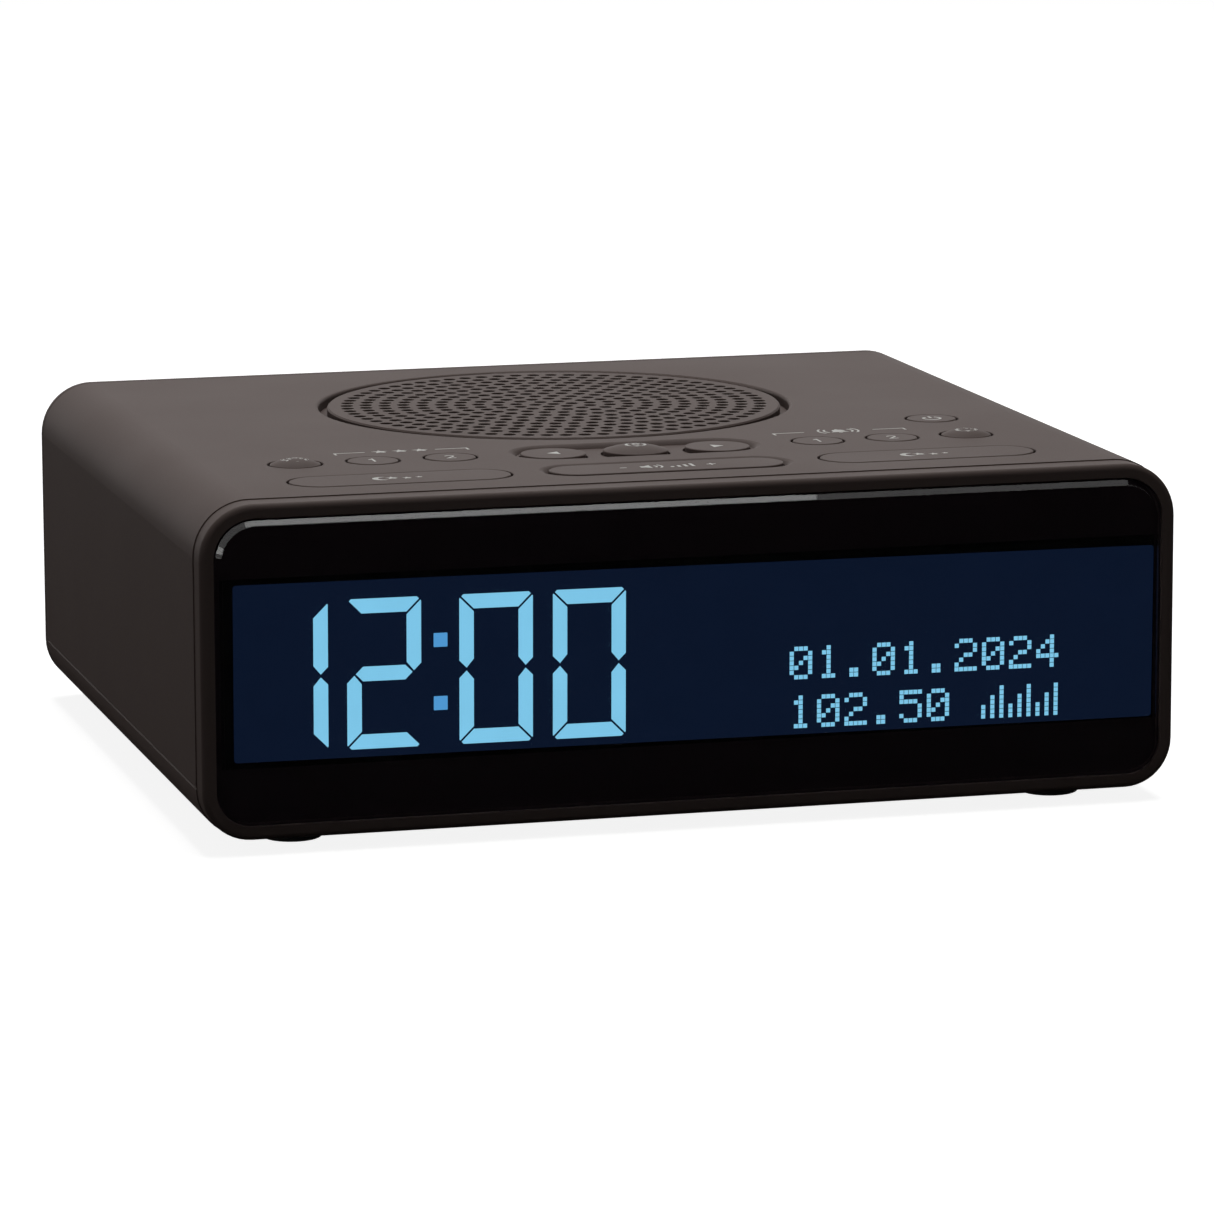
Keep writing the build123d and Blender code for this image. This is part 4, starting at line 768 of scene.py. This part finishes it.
class RADIO_OT_lens(bpy.types.Operator):
    """Builds the clear front window with its bevelled edge, and the black print behind it"""

    bl_idname = "radio.lens"
    bl_label = "Lens"

    # Opening in the print: left, right, and low and high above the base, in millimetres
    WINDOW = (-85.6, 86.1, 12.9, 46.6)
    EDGE = 0.07
    PRINT_INSET, PRINT_SINK, PRINT_DEPTH = 0.25, 0.04, 0.03

    def execute(self, context):
        loops = ((LENS_BACK, 0.0), (FRONT + LENS_CHAMFER, 0.0), (FRONT, LENS_CHAMFER))
        bm = bmesh.new()
        rings = [[bm.verts.new(Vector((x, y, z)) * MM) for x, z in lens_outline(inset)]
                 for y, inset in loops]
        for back, fore in zip(rings, rings[1:]):
            band(bm, back, fore)
        bm.faces.new(rings[0])
        bm.faces.new(rings[-1])
        lens = mesh_piece("lens_window", bm, acrylic_clear(), "cabinet")
        smooth(lens.data)
        bevel = lens.modifiers.new("polished_edge", "BEVEL")
        bevel.width = self.EDGE * MM
        bevel.segments = 2
        bevel.limit_method = "ANGLE"
        bevel.angle_limit = math.radians(SHARP)
        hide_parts("front_lens")
        self.print_mask()
        return {"FINISHED"}

    def print_mask(self):
        """Black ink on the back of the lens, open over the display."""
        bm = bmesh.new()
        edges = []
        left, right, low, high = self.WINDOW
        corners = ((left, low), (right, low), (right, high), (left, high))
        window = [(x, FLOOR + height) for x, height in corners]
        y = LENS_BACK - self.PRINT_SINK
        for outline in (lens_outline(self.PRINT_INSET), window):
            verts = [bm.verts.new(Vector((x, y, height)) * MM) for x, height in outline]
            edges += [bm.edges.new((a, b)) for a, b in zip(verts, verts[1:] + verts[:1])]
        bmesh.ops.triangle_fill(bm, edges=edges, use_beauty=True)
        made = bmesh.ops.extrude_face_region(bm, geom=bm.faces[:])["geom"]
        back = [part for part in made if isinstance(part, bmesh.types.BMVert)]
        bmesh.ops.translate(bm, vec=(0, self.PRINT_DEPTH * MM, 0), verts=back)
        # Screen-printed black ink: dense, with a faint orange peel
        black = surface("ink_black_screen_printed", hexes("#161114", "#1B1518"), 0.5, NOISE, 0.5, 0.003,
                        **{"Specular IOR Level": 0.0})
        mesh_piece("lens_print", bm, black, "cabinet")


class RADIO_OT_display(bpy.types.Operator):
    """Builds the display's lit field, the time in segments and two lines of dots"""

    bl_idname = "radio.display"
    bl_label = "Display"

    # Left, right, low and high of the field, and the places of what is lit on it, in millimetres
    FIELD = (-83.9, 86.0, FLOOR + 14.0, FLOOR + 45.5)
    DIGITS = ((-80.35, "1"), (-63.6, "2"), (-43.35, "0"), (-26.35, "0"))
    DIGIT_FOOT = FLOOR + 15.4
    COLON = (-48.0, -45.5, FLOOR + 21.7, FLOOR + 33.0)
    DOTS = (17.3, FLOOR + 23.95, FLOOR + 15.05)
    LINES = ("01.01.2024", "102.50 ^^^")
    FIELD_Y, LIT_Y = GLASS_FRONT - 0.005, GLASS_FRONT - 0.03
    FIELD_CORNER, COLON_CORNER = 0.6, 0.12
    TILT = -0.3
    PIVOT = Vector((FIELD[0], 0, (FIELD[2] + FIELD[3]) / 2))

    def execute(self, context):
        colours, sizes = chosen("radio_finish"), chosen("radio_display")
        field = lit("display_film_unlit_blue", colours.field_colour, share=0.86, size=0.6, strength=1.0)
        bright = {"share": 0.9, "size": 0.5, "strength": 1.06}
        glow = lit("display_film_lit_cyan", colours.digit_colour, **bright)
        faint = lit("display_film_lit_blue", colours.colon_colour, **bright)
        self.plate("display_field", [rounded_box(*self.FIELD, self.FIELD_CORNER)], field, self.FIELD_Y)
        outlines = []
        for x, figure in self.DIGITS:
            outlines += segments(figure, x, self.DIGIT_FOOT, sizes)
        self.plate("display_digits", outlines, glow, self.LIT_Y)
        left, right, *feet = self.COLON
        colon = [rounded_box(left, right, z, z + right - left, self.COLON_CORNER) for z in feet]
        self.plate("display_colon", colon, faint, self.LIT_Y)
        inputs = {
            "Dot": (sizes.dot_size * MM, FILM * MM, sizes.dot_size * MM),
            "Material": glow,
        }
        places = dot_places(self.LINES, self.DOTS, sizes.dot_pitch)
        points = [self.askew() @ Vector(place) * MM for place in places]
        dots = grown("display_dots", points, dot_matrix(), inputs)
        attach(dots, "cabinet")
        return {"FINISHED"}

    def plate(self, name, outlines, material, y):
        """A flat film on the display glass, from a drawing stood up to face the viewer."""
        upright = Matrix.Translation((0, y, 0)) @ Matrix.Rotation(math.pi / 2, 4, "X")
        bm = bmesh.new()
        plates(bm, outlines, self.askew() @ upright, FILM)
        mesh_piece(name, bm, material, "cabinet")

    def askew(self):
        """The display hangs a little askew behind the window, turned about its left end."""
        turned = Matrix.Rotation(-math.radians(self.TILT), 4, "Y")
        return Matrix.Translation(self.PIVOT) @ turned @ Matrix.Translation(-self.PIVOT)


def rounded_box(x0, x1, y0, y1, radius):
    """Outline of a rectangle with rounded corners."""
    left, right, low, high = x0 + radius, x1 - radius, y0 + radius, y1 - radius
    corners = ((right, low, 270), (right, high, 0), (left, high, 90), (left, low, 180))
    return [point for x, y, start in corners for point in turn(x, y, radius, start, start + 90, steps=6)]


def segments(figure, x, z, sizes):
    """Outlines of a figure's lit segments, mitred with a dark line between them."""
    w, h, t, g, c = sizes.digit_width, sizes.digit_height, sizes.stroke, sizes.gap, sizes.corner
    m = h / 2
    half = t / 2
    low, high = (c - g) / 2, (c + g) / 2
    shapes = {
        "d": [(c, 0), (c / 2, c / 2), (t, t), (w - t, t), (w - c / 2, c / 2), (w - c, 0)],
        "e": [(0, c), (low, high), (t, t + g), (t, m - half - g), (half, m - g / 2), (0, m - half - g / 2)],
        "g": [(half + g / 2, m), (t + g / 2, m + half), (w - t - g / 2, m + half), (w - half - g / 2, m),
              (w - t - g / 2, m - half), (t + g / 2, m - half)],
    }
    for above, below in ("ad", "fe"):
        shapes[above] = [(px, h - py) for px, py in shapes[below]]
    for right, left in ("bf", "ce"):
        shapes[right] = [(w - px, py) for px, py in shapes[left]]
    lit_ones = {"0": "abcdef", "1": "bc", "2": "abged"}[figure]
    return [[(x + px, z + py) for px, py in shapes[name]] for name in lit_ones]


# Dot figures, seven rows of five, set six dots apart
DOT_ROWS, DOT_STEP = 7, 6
DOT_PLANE = GLASS_FRONT - 0.04
DOT_FIGURES = {
    "0": "01110 10001 10011 10101 11001 10001 01110",
    "1": "00100 01100 00100 00100 00100 00100 01110",
    "2": "01110 10001 00001 00110 01000 10000 11111",
    "4": "00010 00110 01010 10010 11111 00010 00010",
    "5": "11111 10000 11110 00001 00001 10001 01110",
    ".": "00000 00000 00000 00000 00000 01100 01100",
    "^": "00001 00001 00101 00101 10101 10101 10101",
    " ": "00000 00000 00000 00000 00000 00000 00000",
}


def dot_places(lines, corner, pitch):
    """Middles of the lit dots of two lines, in millimetres."""
    x0, *feet = corner
    places = []
    for line, foot in zip(lines, feet):
        for place, figure in enumerate(line):
            for row, dots in enumerate(DOT_FIGURES[figure].split()):
                for column, dot in enumerate(dots):
                    if dot == "1":
                        x = x0 + (DOT_STEP * place + column + 0.5) * pitch
                        z = foot + (DOT_ROWS - 0.5 - row) * pitch
                        places.append((x, DOT_PLANE, z))
    return places


def dot_matrix():
    """Tree of the dots: a thin plate at each point."""
    tree, given = new_tree("dot_matrix", {"Dot": "NodeSocketVector", "Material": "NodeSocketMaterial"})
    dot = add(tree, "GeometryNodeMeshCube", {"Size": given["Dot"]})
    dots = add(tree, "GeometryNodeInstanceOnPoints",
               {"Points": given["Geometry"], "Instance": dot.outputs[0]})
    real = add(tree, "GeometryNodeRealizeInstances", {"Geometry": dots.outputs[0]})
    painted = add(tree, "GeometryNodeSetMaterial",
                  {"Geometry": real.outputs[0], "Material": given["Material"]})
    add(tree, "NodeGroupOutput", {"Geometry": painted.outputs[0]})
    return tree


class RADIO_OT_works(bpy.types.Operator):
    """Finishes the feet, screws, rear fittings and everything inside the case"""

    bl_idname = "radio.works"
    bl_label = "Feet, fittings and works"

    def execute(self, context):
        finishes = inner_finishes()
        for name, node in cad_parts.items():
            material = finishes.get(node.material_slots[0].material.name)
            if material:
                dress(material, name)
        return {"FINISHED"}


class RADIO_OT_surround(bpy.types.Operator):
    """Cuts the speaker's surround into sectors between the basket and the cone"""

    bl_idname = "radio.surround"
    bl_label = "Speaker surround"

    SECTORS = 24

    def execute(self, context):
        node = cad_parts["speaker_surround"]
        low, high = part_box("speaker_surround")
        middle = (low + high) / 2
        for number in range(self.SECTORS):
            start, end = (math.tau * (number + side) / self.SECTORS for side in (0, 1))
            sector = self.cut(node.data, middle, start, end)
            piece = closed_piece(f"surround_{number:02d}", sector, node.material_slots[0].material)
            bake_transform(piece)
            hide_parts("speaker_surround")
        return {"FINISHED"}

    def cut(self, mesh, middle, start, end):
        """The closed part of a ring between two angles."""
        bm = bmesh.new()
        bm.from_mesh(mesh)
        bmesh.ops.remove_doubles(bm, verts=bm.verts, dist=WELD)
        for angle, side in ((start, -1), (end, 1)):
            across = side * Vector((-math.sin(angle), math.cos(angle), 0))
            whole = bm.verts[:] + bm.edges[:] + bm.faces[:]
            made = bmesh.ops.bisect_plane(
                bm, geom=whole, plane_co=middle, plane_no=across, clear_outer=True)
            rim = [part for part in made["geom_cut"] if isinstance(part, bmesh.types.BMEdge)]
            bmesh.ops.triangle_fill(bm, edges=rim, use_beauty=True)
        return bm


def seen_directly(tree):
    """One for rays from the camera and from metal and glass, nought for the rest."""
    path = add(tree, "ShaderNodeLightPath").outputs
    seen = path["Is Camera Ray"]
    for kind in ("Is Glossy Ray", "Is Transmission Ray"):
        seen = add(tree, "ShaderNodeMath", {0: seen, 1: path[kind]}, operation="MAXIMUM").outputs[0]
    return seen


class RADIO_OT_stage(bpy.types.Operator):
    """Sets the floor, the soft light and the camera"""

    bl_idname = "radio.stage"
    bl_label = "Stage"

    # The camera's turns in degrees, place and sensor in millimetres, and reach in metres
    YAW, PITCH, ROLL = 15.18, 10.24, -0.19
    EYE = (-295.66, -1105.9, FLOOR + 231.02)
    SENSOR, FAR = 36.0, 50.0
    # Place, aim, width and height of each softbox in metres
    ABOVE = ((0.08, 0.34, 1.15), (0, 0, -1), 0.57, 1.45)
    LEFT = ((-1.25, -0.35, 0.3), (0.95, 0.25, -0.2), 0.12, 0.3)
    # Half the side of the floor and of a flag, and a flag's height over the floor, in metres
    FLOOR_REACH, FLAG_REACH, FLAG_LIFT = 8.0, 1.0, 0.0002
    FLOOR_GLOW = 0.88

    def execute(self, context):
        scene, sizes = context.scene, chosen("radio_stage")
        scene.view_settings.view_transform = "Standard"
        self.floor()
        self.flags()
        self.room(scene, sizes.ambient)
        self.softbox("softbox_above", *self.ABOVE, sizes.top_light)
        self.softbox("softbox_left", *self.LEFT, sizes.side_light)
        self.camera(scene, sizes.lens)
        return {"FINISHED"}

    def floor(self):
        """A floor that is white to the camera, metal and glass, keeps the shadow and throws back little."""
        material, tree = new_material("paper_pale_matt")
        coords = add(tree, "ShaderNodeTexCoord").outputs["Object"]
        fibre = add(tree, NOISE, {"Vector": coords, "Scale": per_mm(4.0)}).outputs["Fac"]
        pale = add(tree, "ShaderNodeMix", {0: fibre, 6: linear("#E6E6E5"), 7: linear("#EEEEED")},
                   data_type="RGBA").outputs[2]
        paper = add(tree, "ShaderNodeBsdfDiffuse", {"Color": pale})
        glow = add(tree, "ShaderNodeEmission", {"Color": linear("#FFFFFF"), "Strength": self.FLOOR_GLOW})
        white = add(tree, "ShaderNodeAddShader", {0: paper.outputs[0], 1: glow.outputs[0]})
        dim = add(tree, "ShaderNodeBsdfDiffuse", {"Color": linear("#3A3A3A")})
        mixed = add(tree, "ShaderNodeMixShader",
                    {0: seen_directly(tree), 1: dim.outputs[0], 2: white.outputs[0]})
        add(tree, "ShaderNodeOutputMaterial", {"Surface": mixed.outputs[0]})
        self.card("floor", self.FLOOR_REACH, Matrix.Identity(4), material)

    def flags(self):
        """Dark cards that only mirrors see, on the floor and at the right: the window stays black."""
        material, tree = new_material("velvet_black_card")
        coords = add(tree, "ShaderNodeTexCoord").outputs["Object"]
        pile = add(tree, NOISE, {"Vector": coords, "Scale": per_mm(2.0)}).outputs["Fac"]
        dark = add(tree, "ShaderNodeMix", {0: pile, 6: linear("#0A0A0A"), 7: linear("#121212")},
                   data_type="RGBA").outputs[2]
        nap = add(tree, "ShaderNodeBsdfDiffuse", {"Color": dark})
        add(tree, "ShaderNodeOutputMaterial", {"Surface": nap.outputs[0]})
        reach = self.FLAG_REACH
        flat = Matrix.Translation((0, 0, self.FLAG_LIFT))
        upright = Matrix.Translation((reach, 0, reach)) @ Matrix.Rotation(math.pi / 2, 4, "Y")
        for name, place in (("flag_floor", flat), ("flag_right", upright)):
            card = self.card(name, reach, place, material)
            card.visible_camera = card.visible_diffuse = card.visible_shadow = False

    def card(self, name, reach, place, material):
        """A flat square of the stage."""
        mesh = bpy.data.meshes.new(name)
        square = ((-1, -1), (1, -1), (1, 1), (-1, 1))
        corners = [place @ Vector((x * reach, y * reach, 0)) for x, y in square]
        mesh.from_pydata(corners, [], [(0, 1, 2, 3)])
        mesh.materials.append(material)
        made = put(name, mesh)
        return made

    def room(self, scene, ambient):
        """A white background, and a dim room for the light."""
        world = bpy.data.worlds.new("room")
        scene.world = world
        world.use_nodes = True
        tree = world.node_tree
        tree.nodes.clear()
        level = add(tree, "ShaderNodeMapRange",
                    {"Value": seen_directly(tree), "To Min": ambient, "To Max": 1.0}).outputs[0]
        back = add(tree, "ShaderNodeBackground", {"Color": linear("#FFFFFF"), "Strength": level})
        add(tree, "ShaderNodeOutputWorld", {"Surface": back.outputs[0]})

    def softbox(self, name, place, aim, width, height, power):
        """A rectangular lamp that faces along its aim."""
        lamp = bpy.data.lights.new(name, "AREA")
        lamp.shape = "RECTANGLE"
        lamp.size, lamp.size_y = width, height
        lamp.energy = power
        box = put(name, lamp)
        box.location = place
        box.rotation_euler = Vector(aim).to_track_quat("-Z", "Y").to_euler()

    def camera(self, scene, lens):
        """The photograph's view: from the left and a little above."""
        yaw, pitch, roll = (math.radians(a) for a in (self.YAW, self.PITCH, self.ROLL))
        ahead = Vector((math.sin(yaw) * math.cos(pitch), math.cos(yaw) * math.cos(pitch), -math.sin(pitch)))
        right = Vector((math.cos(yaw), -math.sin(yaw), 0))
        up = right.cross(ahead)
        across = math.cos(roll) * right + math.sin(roll) * up
        rise = -math.sin(roll) * right + math.cos(roll) * up
        data = bpy.data.cameras.new("camera")
        data.lens = lens
        data.sensor_width = self.SENSOR
        data.clip_end = self.FAR
        view = put("camera", data)
        turned = Matrix((across, rise, -ahead)).transposed().to_4x4()
        view.matrix_world = Matrix.Translation(Vector(self.EYE) * MM) @ turned
        scene.camera = view


class RADIO_PT_sidebar(bpy.types.Panel):
    """The radio's pieces, in the order they are made"""

    bl_idname = "RADIO_PT_sidebar"
    bl_label = "Radio"
    bl_space_type = "VIEW_3D"
    bl_region_type = "UI"
    bl_category = "Radio"

    def draw(self, context):
        for group in GROUPS:
            box = self.layout.box()
            values = getattr(context.scene, group)
            for name in values.bl_rna.properties.keys():
                if name not in ("rna_type", "name"):
                    box.prop(values, name)
        for operator in OPERATORS:
            self.layout.operator(operator.bl_idname)


GROUPS = {
    "radio_finish": RadioFinish,
    "radio_grille": RadioGrille,
    "radio_display": RadioDisplay,
    "radio_marks": RadioMarks,
    "radio_stage": RadioStage,
}
OPERATORS = (
    RADIO_OT_works, RADIO_OT_surround, RADIO_OT_case, RADIO_OT_keys, RADIO_OT_grille, RADIO_OT_lens,
    RADIO_OT_display, RADIO_OT_stage,
)


def register():
    for made in (*GROUPS.values(), *OPERATORS, RADIO_PT_sidebar):
        bpy.utils.register_class(made)
    for name, group in GROUPS.items():
        setattr(bpy.types.Scene, name, PointerProperty(type=group))


def unregister():
    for name in GROUPS:
        delattr(bpy.types.Scene, name)
    for made in (RADIO_PT_sidebar, *reversed(OPERATORS), *reversed(GROUPS.values())):
        bpy.utils.unregister_class(made)


def main():
    register()
    for operator in OPERATORS:
        space, name = operator.bl_idname.split(".")
        getattr(getattr(bpy.ops, space), name)()


if __name__ == "__main__":
    main()
